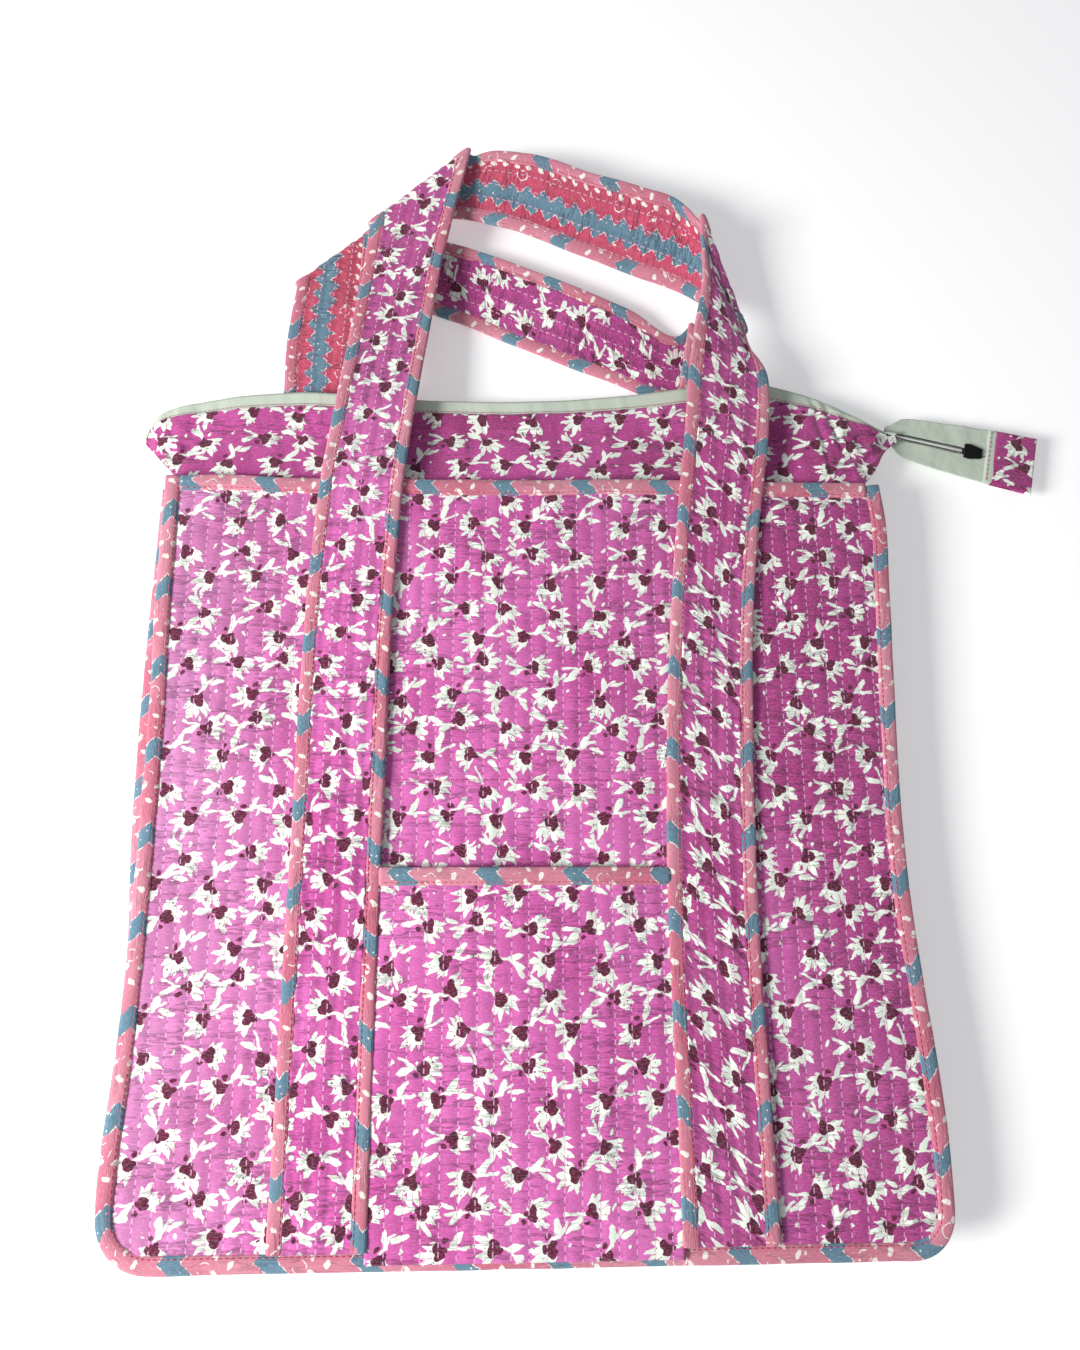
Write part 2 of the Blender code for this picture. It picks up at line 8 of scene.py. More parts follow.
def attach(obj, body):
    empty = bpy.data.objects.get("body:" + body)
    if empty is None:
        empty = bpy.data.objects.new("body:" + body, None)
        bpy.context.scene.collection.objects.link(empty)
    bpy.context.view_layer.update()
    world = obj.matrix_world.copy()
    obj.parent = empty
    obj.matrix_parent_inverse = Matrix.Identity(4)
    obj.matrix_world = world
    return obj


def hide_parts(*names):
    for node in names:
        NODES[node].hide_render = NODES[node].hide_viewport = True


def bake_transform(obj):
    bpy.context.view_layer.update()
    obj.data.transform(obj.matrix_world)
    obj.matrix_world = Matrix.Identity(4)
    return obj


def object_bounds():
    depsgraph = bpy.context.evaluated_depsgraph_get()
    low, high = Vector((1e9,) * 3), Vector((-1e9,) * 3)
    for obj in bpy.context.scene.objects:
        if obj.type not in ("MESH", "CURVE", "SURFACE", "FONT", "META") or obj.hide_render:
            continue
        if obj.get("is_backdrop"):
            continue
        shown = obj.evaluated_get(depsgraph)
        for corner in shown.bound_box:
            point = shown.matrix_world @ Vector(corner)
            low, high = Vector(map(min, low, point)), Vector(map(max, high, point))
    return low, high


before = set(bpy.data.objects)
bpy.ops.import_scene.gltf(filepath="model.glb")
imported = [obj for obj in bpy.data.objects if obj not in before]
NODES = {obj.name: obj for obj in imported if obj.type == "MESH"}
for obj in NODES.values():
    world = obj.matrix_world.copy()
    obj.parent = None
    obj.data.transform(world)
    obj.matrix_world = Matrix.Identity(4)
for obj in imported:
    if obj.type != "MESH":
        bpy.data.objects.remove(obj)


def note_size(key, record):
    lo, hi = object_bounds()
    record[key] = [list(lo), list(hi)]
    return record


SIZE = note_size("cad_box", {})

# ------------------------------------------------------------------ sizes (metres)
YS = -0.0048                 # bag coordinates to the row frame
BAG_W, BAG_H = 0.450, 0.443
CORNER_L, CORNER_R = 0.029, 0.024
PITCH = 0.0094               # quilting rows
HW, WEB = 0.0257, 0.0172     # strap half width, quilted part of it
FOLD_R = 0.0026
deg = math.radians
STEP = 0.0018


# ------------------------------------------------------------------ smooth noise on arrays
def _hash(ix, iy, seed):
    n = (ix.astype(np.int64) * 374761393 + iy.astype(np.int64) * 668265263 + seed * 1442695041) & 0xFFFFFFFF
    n = ((n ^ (n >> 13)) * 1274126177) & 0xFFFFFFFF
    n = (n ^ (n >> 16)) & 0xFFFFFFFF
    return n / 4294967295.0 * 2 - 1


def vnoise(x, y, seed=0):
    x, y = np.broadcast_arrays(np.asarray(x, float), np.asarray(y, float))
    ix, iy = np.floor(x), np.floor(y)
    fx, fy = x - ix, y - iy
    sx, sy = fx ** 3 * (fx * (fx * 6 - 15) + 10), fy ** 3 * (fy * (fy * 6 - 15) + 10)
    a, b = _hash(ix, iy, seed), _hash(ix + 1, iy, seed)
    c, d = _hash(ix, iy + 1, seed), _hash(ix + 1, iy + 1, seed)
    return (a * (1 - sx) + b * sx) * (1 - sy) + (c * (1 - sx) + d * sx) * sy


def fbm(x, y, seed=0, octaves=3):
    t, amp, s = 0.0, 1.0, 0.0
    for i in range(octaves):
        t = t + amp * vnoise(x * 2 ** i, y * 2 ** i, seed + i * 17)
        s += amp
        amp *= 0.5
    return t / s


def ease(x, a, b):
    t = np.clip((x - a) / (b - a), 0, 1)
    return t * t * (3 - 2 * t)


# ------------------------------------------------------------------ node graphs as expressions
class Val:
    def __init__(self, g, s):
        self.g, self.s = g, s

    def __add__(self, o): return self.g.m("ADD", self, o)
    def __radd__(self, o): return self.g.m("ADD", o, self)
    def __sub__(self, o): return self.g.m("SUBTRACT", self, o)
    def __rsub__(self, o): return self.g.m("SUBTRACT", o, self)
    def __mul__(self, o): return self.g.m("MULTIPLY", self, o)
    def __rmul__(self, o): return self.g.m("MULTIPLY", o, self)
    def __truediv__(self, o): return self.g.m("DIVIDE", self, o)
    def __abs__(self): return self.g.m("ABSOLUTE", self)


class Graph:
    def __init__(self, tree):
        self.t = tree

    def new(self, kind, **kw):
        n = self.t.nodes.new(kind)
        for k, v in kw.items():
            setattr(n, k, v)
        return n

    def put(self, sock, v):
        if isinstance(v, Val):
            self.t.links.new(v.s, sock)
        else:
            sock.default_value = v

    def m(self, op, *a):
        n = self.new("ShaderNodeMath", operation=op)
        for i, v in enumerate(a):
            self.put(n.inputs[i], v)
        return Val(self, n.outputs[0])

    def floor(self, a): return self.m("FLOOR", a)
    def fract(self, a): return self.m("FRACT", a)
    def sin(self, a): return self.m("SINE", a)
    def cos(self, a): return self.m("COSINE", a)
    def mx(self, a, b): return self.m("MAXIMUM", a, b)
    def mn(self, a, b): return self.m("MINIMUM", a, b)
    def hyp(self, a, b): return self.m("SQRT", a * a + b * b)

    def ss(self, x, lo, hi, a=0.0, b=1.0):
        n = self.new("ShaderNodeMapRange", interpolation_type="SMOOTHSTEP", clamp=True)
        for i, v in enumerate((x, lo, hi, a, b)):
            self.put(n.inputs[i], v)
        return Val(self, n.outputs[0])

    def vec(self, x, y, z=0.0):
        n = self.new("ShaderNodeCombineXYZ")
        for i, v in enumerate((x, y, z)):
            self.put(n.inputs[i], v)
        return Val(self, n.outputs[0])

    def split(self, v):
        n = self.new("ShaderNodeSeparateXYZ")
        self.put(n.inputs[0], v)
        return [Val(self, o) for o in n.outputs]

    def noise(self, v, scale, detail=2.0, rough=0.5):
        n = self.new("ShaderNodeTexNoise")
        self.put(n.inputs["Vector"], v)
        n.inputs["Scale"].default_value = scale
        n.inputs["Detail"].default_value = detail
        n.inputs["Roughness"].default_value = rough
        return Val(self, n.outputs[0]), Val(self, n.outputs[1])

    def white(self, v):
        n = self.new("ShaderNodeTexWhiteNoise", noise_dimensions="3D")
        self.put(n.inputs["Vector"], v)
        return self.split(Val(self, n.outputs["Color"]))

    def spots(self, v, scale, rand=1.0):
        n = self.new("ShaderNodeTexVoronoi", feature="F1")
        self.put(n.inputs["Vector"], v)
        n.inputs["Scale"].default_value = scale
        n.inputs["Randomness"].default_value = rand
        return Val(self, n.outputs["Distance"])

    def mix(self, f, a, b, mode="MIX"):
        n = self.new("ShaderNodeMix", data_type="RGBA", blend_type=mode)
        self.put(n.inputs[0], f)
        self.put(n.inputs[6], a)
        self.put(n.inputs[7], b)
        return Val(self, n.outputs[2])

    def uv(self):
        n = self.new("ShaderNodeUVMap")
        n.uv_map = "cloth"
        return self.split(Val(self, n.outputs[0]))


def rgb(r, g, b):
    """0-255 screen colour to linear."""
    f = lambda c: (c / 255) / 12.92 if c / 255 <= 0.04045 else ((c / 255 + 0.055) / 1.055) ** 2.4
    return (f(r), f(g), f(b), 1.0)


def group(name, build, ins, outs):
    t = bpy.data.node_groups.new(name, "ShaderNodeTree")
    for n in ins:
        t.interface.new_socket(n, in_out="INPUT", socket_type="NodeSocketFloat")
    for n, k in outs:
        t.interface.new_socket(n, in_out="OUTPUT", socket_type=k)
    g = Graph(t)
    gi, go = t.nodes.new("NodeGroupInput"), t.nodes.new("NodeGroupOutput")
    res = build(g, *[Val(g, gi.outputs[i]) for i in range(len(ins))])
    for i, r in enumerate(res):
        g.put(go.inputs[i], r)
    return t


def use(g, tree, *ins):
    n = g.new("ShaderNodeGroup")
    n.node_tree = tree
    for i, v in enumerate(ins):
        g.put(n.inputs[i], v)
    return [Val(g, o) for o in n.outputs]


PINK, PINK_DK = rgb(206, 101, 173), rgb(186, 69, 147)
PINK_DEEP = rgb(150, 36, 108)
# pale tint used as painted light on the left of the printed panels
PAINTED_LIGHT_PALE = rgb(176, 172, 190)
CREAM, PLUM = rgb(232, 240, 228), rgb(92, 0, 50)
CORAL, CORAL_DK = rgb(204, 131, 150), rgb(190, 98, 122)
ROSE, ROSE_DK = rgb(198, 78, 110), rgb(180, 58, 88)
SLATE, DOT = rgb(92, 126, 146), rgb(234, 226, 216)


def floral(g, u, v):
    """A scattered block-print of open fan flowers with stems and leaves: cream and plum on pink."""
    _, wob = g.noise(g.vec(u, v), 150.0, 1.0)
    wx, wy, _z = g.split(wob)
    _, wob2 = g.noise(g.vec(u, v), 560.0, 1.0)
    vx, vy, _z = g.split(wob2)
    u = u + (wx - 0.5) * 0.0040 + (vx - 0.5) * 0.0011
    v = v + (wy - 0.5) * 0.0040 + (vy - 0.5) * 0.0011
    ink, _c = g.noise(g.vec(u, v), 800.0, 3.0, 0.7)

    def cells(cx, cy, du, dv, seed, nx, ny):
        vv = (v + dv) / cy
        row = g.floor(vv)
        uu = (u + du) / cx + g.m("FLOORED_MODULO", row, 2.0) * 0.5
        col = g.floor(uu)
        r1, r2, r3 = g.white(g.vec(g.m("FLOORED_MODULO", col, nx) + seed, g.m("FLOORED_MODULO", row, ny) * 1.37, seed))
        lx = (g.fract(uu) - 0.5) * cx + (r1 - 0.5) * (cx * 0.20)
        ly = (g.fract(vv) - 0.5) * cy + (r2 - 0.5) * (cy * 0.14)
        return lx, ly, r1, r2, r3

    def sprig(lx, ly, r1, r2, r3, R, spin):
        an = (r3 - 0.5) * 1.5 + spin
        c, s_ = g.cos(an), g.sin(an)
        x = (lx * c + ly * s_) / R
        y = (ly * c - lx * s_) / R
        bend = g.sin(y * 1.7 + r1 * 2.4) * 0.16
        fy = y - 0.12
        fx = x - 0.05
        r, th = g.hyp(fx, fy), g.m("ARCTAN2", fx, fy)
        th = th + (r2 - 0.5) * 0.5
        wide = 1.22 + r1 * 0.30
        k = th * 2.35 + r2 * 3.0
        tip = abs(g.fract(k) - 0.5) * 2.0
        t2 = (th / wide) * (th / wide)
        edge = (1.02 - 0.32 * tip - 0.16 * g.ss(g.fract(k * 0.37 + r3), 0.4, 0.6)) * (1.0 - t2 * t2)
        flower = g.ss(edge - r, -0.01, 0.05)
        cleft = g.ss(tip, 0.86, 0.96) * g.ss(r, 0.44, 0.56)
        flower = flower * (1.0 - cleft)
        stem = g.ss(abs(x - bend), 0.070, 0.042) * g.ss(y, 0.16, 0.06) * g.ss(y, -0.84, -0.76)
        l1 = g.ss(g.hyp((x - 0.25) + (y + 0.42) * 0.55, (y + 0.42) * 0.50), 0.160, 0.125)
        l2 = g.ss(g.hyp((x + 0.20) - (y + 0.70) * 0.7, (y + 0.70) * 0.50), 0.135, 0.103) * g.ss(r1, 0.3, 0.45)
        h = g.mx(g.ss(g.hyp(abs(fx) - 0.115, fy - 0.20), 0.190, 0.155), g.ss(g.hyp(fx * 1.30, (fy - 0.05) * 0.85), 0.190, 0.155))
        # plum half-shadow beside the flower
        th2 = th - 0.42
        u2 = (th2 / 0.62) * (th2 / 0.62)
        sh = g.ss((0.80 - 0.32 * tip) * (1.0 - u2 * u2) - r, -0.01, 0.05) * g.ss(r2, 0.22, 0.30)
        bud = g.ss(g.hyp(x - 0.34, (y + 0.02) * 0.8), 0.105, 0.075) * g.ss(r3, 0.35, 0.5)
        white = g.mx(g.mx(flower, stem), g.mx(l1, l2))
        specks = g.ss(g.spots(g.vec(u, v), 520.0), 0.25, 0.15) * flower * g.ss(r, 0.36, 0.48) * g.ss(r, 0.86, 0.74)
        return white * (1.0 - h), g.mx(g.mx(h, sh * (1.0 - flower)), g.mx(bud, specks))

    cx, cy = 0.0295, 0.0360
    w1, p1 = sprig(*cells(cx, cy, 0.0, 0.0, 0.0, 4.0, 4.0), 0.0148, 1.95)
    w2, p2 = sprig(*cells(cx, cy, 0.0020, 0.0180, 9.0, 4.0, 4.0), 0.0141, -2.0)
    lx, ly, r1, r2, r3 = cells(0.0148, 0.0180, 0.0074, 0.0085, 31.0, 4.0, 4.0)
    bit = g.ss(g.hyp(lx + ly * (r3 - 0.5), ly * (0.5 + r3)), 0.0011, 0.0007) * g.ss(r1, 0.35, 0.45)
    white = g.mx(g.mx(w1, w2), bit * (1.0 - g.mx(p1, p2)))
    plum = g.mx(p1 * (1.0 - w2), p2 * (1.0 - w1 * 0.6))
    white = white * g.ss(ink, 0.17, 0.30)
    plum = plum * g.ss(ink, 0.16, 0.30)
    return white, plum


FLORAL = group("floral_print", floral, ["u", "v"], [("cream", "NodeSocketFloat"), ("plum", "NodeSocketFloat")])


def bands(g, u, v):
    """Trim cloth: slate zigzag bands edged in white on coral, with rows of oval dots between them."""
    _, wob = g.noise(g.vec(u, v), 200.0, 1.0)
    wx, wy, _z = g.split(wob)
    _, wob2 = g.noise(g.vec(u, v), 700.0, 1.0)
    vx, vy, _z = g.split(wob2)
    u = u + (wx - 0.5) * 0.0030 + (vx - 0.5) * 0.0010
    v = v + (wy - 0.5) * 0.0030 + (vy - 0.5) * 0.0010
    t = u / 0.049
    d = (g.fract(t) - 0.5) * 0.049
    zz = (abs(g.fract(v / 0.0118) - 0.5) * 2.0 - 0.5) * 0.0062
    e = d - zz
    blue = g.ss(abs(e), 0.0058, 0.0054)
    hole, _c = g.noise(g.vec(u, v), 300.0, 1.0)
    line = g.ss(abs(abs(e) - 0.0060), 0.00050, 0.00022) * g.ss(hole, 0.47, 0.53)
    # slanted oval dots in a double row midway between bands
    side = g.ss(d, -0.0005, 0.0005)
    m = abs(d) - 0.0205
    q = (g.fract(v / 0.0084 + side * 0.5) - 0.5) * 0.0084
    dots = g.ss(g.hyp(m + q * 0.35, q * 0.72), 0.00165, 0.00125)
    stray = g.ss(g.spots(g.vec(u * 1.0, v * 0.8), 104.0, 0.8), 0.150, 0.118) * g.ss(abs(abs(d) - 0.0135), 0.0058, 0.0048)
    stroke = g.ss(abs(g.hyp(abs(d) - 0.0150, (g.fract(v / 0.0236 + side * 0.4) - 0.5) * 0.0236) - 0.0034), 0.00042, 0.00018) * g.ss(hole, 0.50, 0.56)
    pips = g.ss(g.spots(g.vec(u, v), 250.0, 0.5), 0.15, 0.10) * g.ss(abs(e), 0.0045, 0.0040)
    ink, _c = g.noise(g.vec(u, v), 900.0, 3.0, 0.7)
    pale = g.mx(g.mx(line, stroke), g.mx(dots, g.mx(stray * (1.0 - blue), pips))) * g.ss(ink, 0.2, 0.34)
    return blue, pale


BANDS = group("trim_print", bands, ["u", "v"], [("slate", "NodeSocketFloat"), ("pale", "NodeSocketFloat")])


def cloth_material(name, paint, slot_rgb, rough=0.88, weave=0.00042, bump=0.35, sheen=0.25, swap=False, stitch=None, mottled=0.30, crease=1.0):
    """Cotton: a print, thread-scale weave, faint fading, undyed thread showing through, painted highlight and painted
    shade along thin creases, one Principled shader.
    """
    m = bpy.data.materials.new(name)
    m.use_nodes = True
    m.diffuse_color = slot_rgb
    t = m.node_tree
    g = Graph(t)
    b = t.nodes["Principled BSDF"]
    u, v, _ = g.uv()
    if swap:
        u, v = v, u
    col, inkh = paint(g, u, v)
    # warp and weft
    wv = (g.sin(u * (2 * math.pi / weave)) * g.sin(v * (2 * math.pi / weave)))
    slub, _c = g.noise(g.vec(u * 0.35, v * 2.2), 1500.0, 2.0, 0.6)
    slub2, _c = g.noise(g.vec(u * 2.2, v * 0.35), 1500.0, 2.0, 0.6)
    fade, _c = g.noise(g.vec(u, v), 26.0, 4.0, 0.6)
    fine = slub + slub2 - 1.0
    # thin creases across the rows: painted highlight on the crest, painted shade beside it; the same masks also shape
    # the bump
    cw, _c = g.noise(g.vec(u * 0.14, v), 220.0, 3.0, 0.6)
    cm, _c = g.noise(g.vec(u, v), 34.0, 2.0, 0.5)
    where = g.ss(cm, 0.38, 0.56) * crease
    crest = g.ss(abs(cw - 0.515), 0.050, 0.0) * where
    dip = g.ss(abs(cw - 0.445), 0.050, 0.0) * where
    tone_and_crease_light = 1.0 + fine * 0.26 + (fade - 0.5) * mottled + crest * 0.22 - dip * 0.44
    col = g.mix(1.0, col, _grey(g, tone_and_crease_light), "MULTIPLY")
    # undyed thread showing through the colour
    thin, _c = g.noise(g.vec(u * 0.5, v * 1.6), 900.0, 3.0, 0.7)
    col = g.mix(g.ss(thin, 0.46, 0.72, 0.0, 0.16), col, CREAM)
    if stitch:
        line, dash, tone = stitch(g, u, v)
        col = g.mix(line * dash * 0.66, col, tone)
        # painted shade: dark plum along each stitch row between the dashes, where the row sinks into the cloth
        col = g.mix(line * (1.0 - dash) * 0.36, col, (0.16, 0.015, 0.09, 1.0))
    g.put(b.inputs["Base Color"], col)
    h = wv * 0.05 + fine * 0.8 + inkh * 0.25 + crest * 3.4 - dip * 4.2
    if stitch:
        h = h - line * (1.0 - dash) * 3.0 + line * dash * 0.8
    bn = g.new("ShaderNodeBump")
    bn.inputs["Strength"].default_value = bump
    bn.inputs["Distance"].default_value = 0.00016
    g.put(bn.inputs["Height"], h)
    t.links.new(bn.outputs[0], b.inputs["Normal"])
    g.put(b.inputs["Roughness"], rough + fine * 0.06)
    b.inputs["Sheen Weight"].default_value = sheen
    b.inputs["Sheen Roughness"].default_value = 0.5
    b.inputs["Specular IOR Level"].default_value = 0.25
    return m


def _grey(g, x):
    n = g.new("ShaderNodeCombineColor")
    for i in range(3):
        g.put(n.inputs[i], x)
    return Val(g, n.outputs[0])


def paint_floral(g, u, v):
    """Print on pink, with painted light making it paler towards the left of the bag and painted shade making it deeper
    pink towards the right and the top.
    """
    w, p = use(g, FLORAL, u, v)
    tone, _c = g.noise(g.vec(u, v), 9.0, 3.0, 0.55)
    base = g.mix(g.ss(tone, 0.36, 0.68), PINK, PINK_DK)
    # painted light: paler towards the left side
    base = g.mix(g.ss(u + (tone - 0.5) * 0.1, -0.06, -0.24, 0.0, 0.26), base, PAINTED_LIGHT_PALE)
    # painted shade: deeper pink towards the right side and the top
    base = g.mix(g.ss(u + v * 0.25 + (tone - 0.5) * 0.1, 0.06, 0.26, 0.0, 0.72), base, PINK_DEEP)
    c = g.mix(w, base, CREAM)
    return g.mix(p, c, PLUM), w


def paint_floral_strap(g, u, v):
    w, p = use(g, FLORAL, u, v)
    tone, _c = g.noise(g.vec(u, v), 9.0, 3.0, 0.55)
    base = g.mix(g.ss(tone, 0.36, 0.68), PINK, PINK_DK)
    # painted shade: the print turns deeper pink further along the strap, towards its right end
    base = g.mix(g.ss(v, 0.10, 0.34, 0.0, 0.60), base, PINK_DEEP)
    c = g.mix(w, base, CREAM)
    return g.mix(p, c, PLUM), w


# painted shade: the same print as the panels on deeper pinks, for the closure strips, gusset and zip-tail tab
def paint_floral_painted_shade(g, u, v):
    w, p = use(g, FLORAL, u, v)
    tone, _c = g.noise(g.vec(u, v), 9.0, 3.0, 0.55)
    base = g.mix(g.ss(tone, 0.36, 0.68), PINK_DK, PINK_DEEP)
    c = g.mix(w, base, CREAM)
    return g.mix(p, c, PLUM), w


def paint_bands(g, u, v):
    s, p = use(g, BANDS, u, v)
    tone, _c = g.noise(g.vec(u, v), 9.0, 2.0, 0.5)
    c = g.mix(g.ss(tone, 0.35, 0.7), CORAL, CORAL_DK)
    c = g.mix(s, c, SLATE)
    return g.mix(p, c, DOT), p


def paint_lining(g, u, v):
    s, p = use(g, BANDS, u, v)
    tone, _c = g.noise(g.vec(u, v), 9.0, 2.0, 0.5)
    c = g.mix(g.ss(tone, 0.35, 0.7), ROSE, ROSE_DK)
    c = g.mix(s, c, SLATE)
    return g.mix(p, c, DOT), p


def paint_tape(g, u, v):
    tw = abs(g.fract((u + v) / 0.0011) - 0.5) * 2.0
    c = g.mix(g.ss(tw, 0.25, 0.75), rgb(208, 218, 204), rgb(180, 192, 174))
    grime, _c = g.noise(g.vec(u, v), 60.0, 3.0, 0.6)
    return g.mix(g.ss(grime, 0.55, 0.8, 0.0, 0.25), c, rgb(206, 196, 170)), tw


def rows_v(phase=0.0, pitch=PITCH, step=0.0046):
    """Running stitches along v, in rows a pitch apart in u."""
    def f(g, u, v):
        t = u / pitch + phase
        k = g.floor(t + 0.5)
        d = abs(t - k) * pitch
        dash = g.ss(abs(g.fract(v / step + k * 0.37) - 0.5), 0.33, 0.29)
        return g.ss(d, 0.00042, 0.00024), dash, rgb(238, 184, 218)
    return f


M_PANEL = cloth_material("quilted_print", paint_floral, PINK, stitch=rows_v())
M_PLAIN = cloth_material("plain_print", paint_floral_painted_shade, PINK_DK)
M_TRIM = cloth_material("trim_cloth", paint_bands, CORAL, swap=True, crease=0.5)
M_LINING = cloth_material("lining_cloth", paint_lining, ROSE, stitch=rows_v())
M_TAPE = cloth_material("zip_tape_cloth", paint_tape, rgb(206, 214, 200), bump=0.5, sheen=0.1, mottled=0.1, crease=0.0)


def solid_material(name, colour, rough, metal=0.0, grain=900.0, depth=0.00005):
    m = bpy.data.materials.new(name)
    m.use_nodes = True
    g = Graph(m.node_tree)
    b = m.node_tree.nodes["Principled BSDF"]
    tc = g.new("ShaderNodeTexCoord")
    n1, _c = g.noise(Val(g, tc.outputs["Object"]), grain, 3.0, 0.6)
    n2, _c = g.noise(Val(g, tc.outputs["Object"]), grain * 0.12, 3.0, 0.6)
    dark = tuple(c * 0.72 for c in colour[:3]) + (1.0,)
    g.put(b.inputs["Base Color"], g.mix(n2, colour, dark))
    g.put(b.inputs["Roughness"], rough + (n1 - 0.5) * 0.14)
    b.inputs["Metallic"].default_value = metal
    bn = g.new("ShaderNodeBump")
    bn.inputs["Strength"].default_value = 0.3
    bn.inputs["Distance"].default_value = depth
    g.put(bn.inputs["Height"], n1)
    m.node_tree.links.new(bn.outputs[0], b.inputs["Normal"])
    return m


M_THREAD = solid_material("coral_thread", rgb(226, 92, 128), 0.6)
M_THREAD_PK = solid_material("pink_thread", rgb(206, 60, 130), 0.6)
M_COIL = solid_material("zip_coil_black", rgb(30, 28, 26), 0.4)
M_METAL = solid_material("black_slider", rgb(34, 33, 34), 0.38, 0.7, 1500.0)


# ------------------------------------------------------------------ meshes
def mesh_obj(name, verts, quads, uvs, mat, smooth=True):
    me = bpy.data.meshes.new(name)
    verts = np.asarray(verts, np.float32).reshape(-1, 3)
    quads = np.asarray(quads, np.int32).reshape(-1, 4)
    me.vertices.add(len(verts))
    me.vertices.foreach_set("co", verts.ravel())
    me.loops.add(quads.size)
    me.polygons.add(len(quads))
    me.loops.foreach_set("vertex_index", quads.ravel())
    me.polygons.foreach_set("loop_start", np.arange(0, quads.size, 4, dtype=np.int32))
    me.polygons.foreach_set("use_smooth", np.full(len(quads), smooth))
    me.update(calc_edges=True)
    me.validate()
    if uvs is not None:
        layer = me.uv_layers.new(name="cloth")
        idx = np.empty(len(me.loops), np.int32)
        me.loops.foreach_get("vertex_index", idx)
        layer.data.foreach_set("uv", np.asarray(uvs, np.float32).reshape(-1, 2)[idx].ravel())
    me.materials.append(mat)
    ob = bpy.data.objects.new(name, me)
    bpy.context.scene.collection.objects.link(ob)
    return ob


def shell(name, top, low, uv, mat):
    """Closed cloth layer between two grids of the same size."""
    m, n = top.shape[:2]
    idx = np.arange(m * n).reshape(m, n)
    q1 = np.stack([idx[:-1, :-1], idx[:-1, 1:], idx[1:, 1:], idx[1:, :-1]], -1).reshape(-1, 4)
    q2 = q1[:, ::-1] + m * n
    rim = np.concatenate([idx[0, :], idx[1:, -1], idx[-1, -2::-1], idx[-2:0:-1, 0]])
    nx = np.roll(rim, -1)
    q3 = np.stack([rim, rim + m * n, nx + m * n, nx], -1)
    return mesh_obj(name, np.concatenate([top.reshape(-1, 3), low.reshape(-1, 3)]), np.concatenate([q1, q2, q3]),
                    np.concatenate([uv.reshape(-1, 2)] * 2), mat)


def tube(name, rings, uv, mat, closed_path=False):
    """Closed profile rings swept along a path, ends capped by fans of quads."""
    m, n = rings.shape[:2]
    idx = np.arange(m * n).reshape(m, n)
    a, b = idx[:-1], idx[1:]
    q = np.stack([a, np.roll(a, -1, 1), np.roll(b, -1, 1), b], -1).reshape(-1, 4)
    caps = []
    h = n // 2
    for r, flip in ((idx[0], True), (idx[-1], False)):
        for i in range(h - 1):
            c = [r[i], r[i + 1], r[n - 2 - i], r[n - 1 - i]]
            caps.append(c[::-1] if flip else c)
    q = np.concatenate([q, np.array(caps)])
    return mesh_obj(name, rings, q, uv, mat)


def quilt(u, v, seed, amp=0.0011, pitch=PITCH):
    """Height of quilted cloth: u across the rows of stitches, v along them, from 0 in the rows to about amp."""
    t = u / pitch
    c = np.abs(np.sin(np.pi * t))
    k = np.floor(t)
    pull = 0.5 + 0.5 * np.cos(2 * np.pi * (v / 0.0046 + np.round(t) * 0.37))
    h = amp * (c ** 0.62) * (0.84 + 0.16 * vnoise(k * 3.1, v / 0.012, seed))
    pucker = vnoise(u / 0.0075 + k * 7.3, v / 0.0028, seed + 5) * 0.00016 + vnoise(u / 0.014, v / 0.0060, seed + 9) * 0.00024
    # shallow rucks that cross one to three rows
    ridge = 1 - np.abs(vnoise(u / 0.034 + 5.1, v / 0.0056 + 0.8 * vnoise(u / 0.024, v / 0.03, seed + 21), seed + 13)) * 2.4
    where = ease(vnoise(u / 0.05, v / 0.045, seed + 17), -0.15, 0.35)
    fine = 1 - np.abs(vnoise(u / 0.017 + 2.7, v / 0.0036, seed + 33)) * 2.4
    ruck = np.clip(ridge, 0, 1) ** 2 * 0.00082 * where + np.clip(fine, 0, 1) ** 2 * 0.00030 * (1 - 0.5 * where)
    h = h + (pucker + ruck) * (0.72 + 0.28 * c) - (1 - c) * pull * 0.00014
    return h


# ------------------------------------------------------------------ strap surface
# Lines across each strap, as (outer edge, inner edge), x y z of the middle of its thickness.
FRONT_LEFT_FOOT = [((-0.1372, 0.0098, 0.0307), (-0.0858, 0.0098, 0.0307)), ((-0.1362, 0.2190, 0.0307), (-0.0850, 0.2190, 0.0307)),
                   ((-0.1340, 0.3850, 0.0307), (-0.0822, 0.3850, 0.0307))]
FRONT_LEG_L = [((-0.1300, 0.4448, 0.0307), (-0.0788, 0.4448, 0.0307)), ((-0.1245, 0.4900, 0.0288), (-0.0738, 0.4900, 0.0288)),
               ((-0.1182, 0.5450, 0.0232), (-0.0668, 0.5450, 0.0240)), ((-0.1125, 0.5930, 0.0188), (-0.0590, 0.6030, 0.0232))]
FRONT_FOLD_1 = ((-0.1088, 0.6330, 0.0176), (-0.0408, 0.6878, 0.0270))
FRONT_MID = [((-0.0850, 0.6370, 0.0118), (-0.0385, 0.6876, 0.0214)), ((-0.0590, 0.6450, 0.0112), (-0.0322, 0.6898, 0.0220)),
             ((-0.0200, 0.6390, 0.0120), (-0.0020, 0.6880, 0.0245)), ((0.0300, 0.6200, 0.0115), (0.0440, 0.6710, 0.0272)),
             ((0.0720, 0.6030, 0.0112), (0.0800, 0.6590, 0.0288)), ((0.1050, 0.5890, 0.0118), (0.0985, 0.6510, 0.0292))]
FRONT_FOLD_2 = ((0.1420, 0.5540, 0.0225), (0.1130, 0.6330, 0.0364))
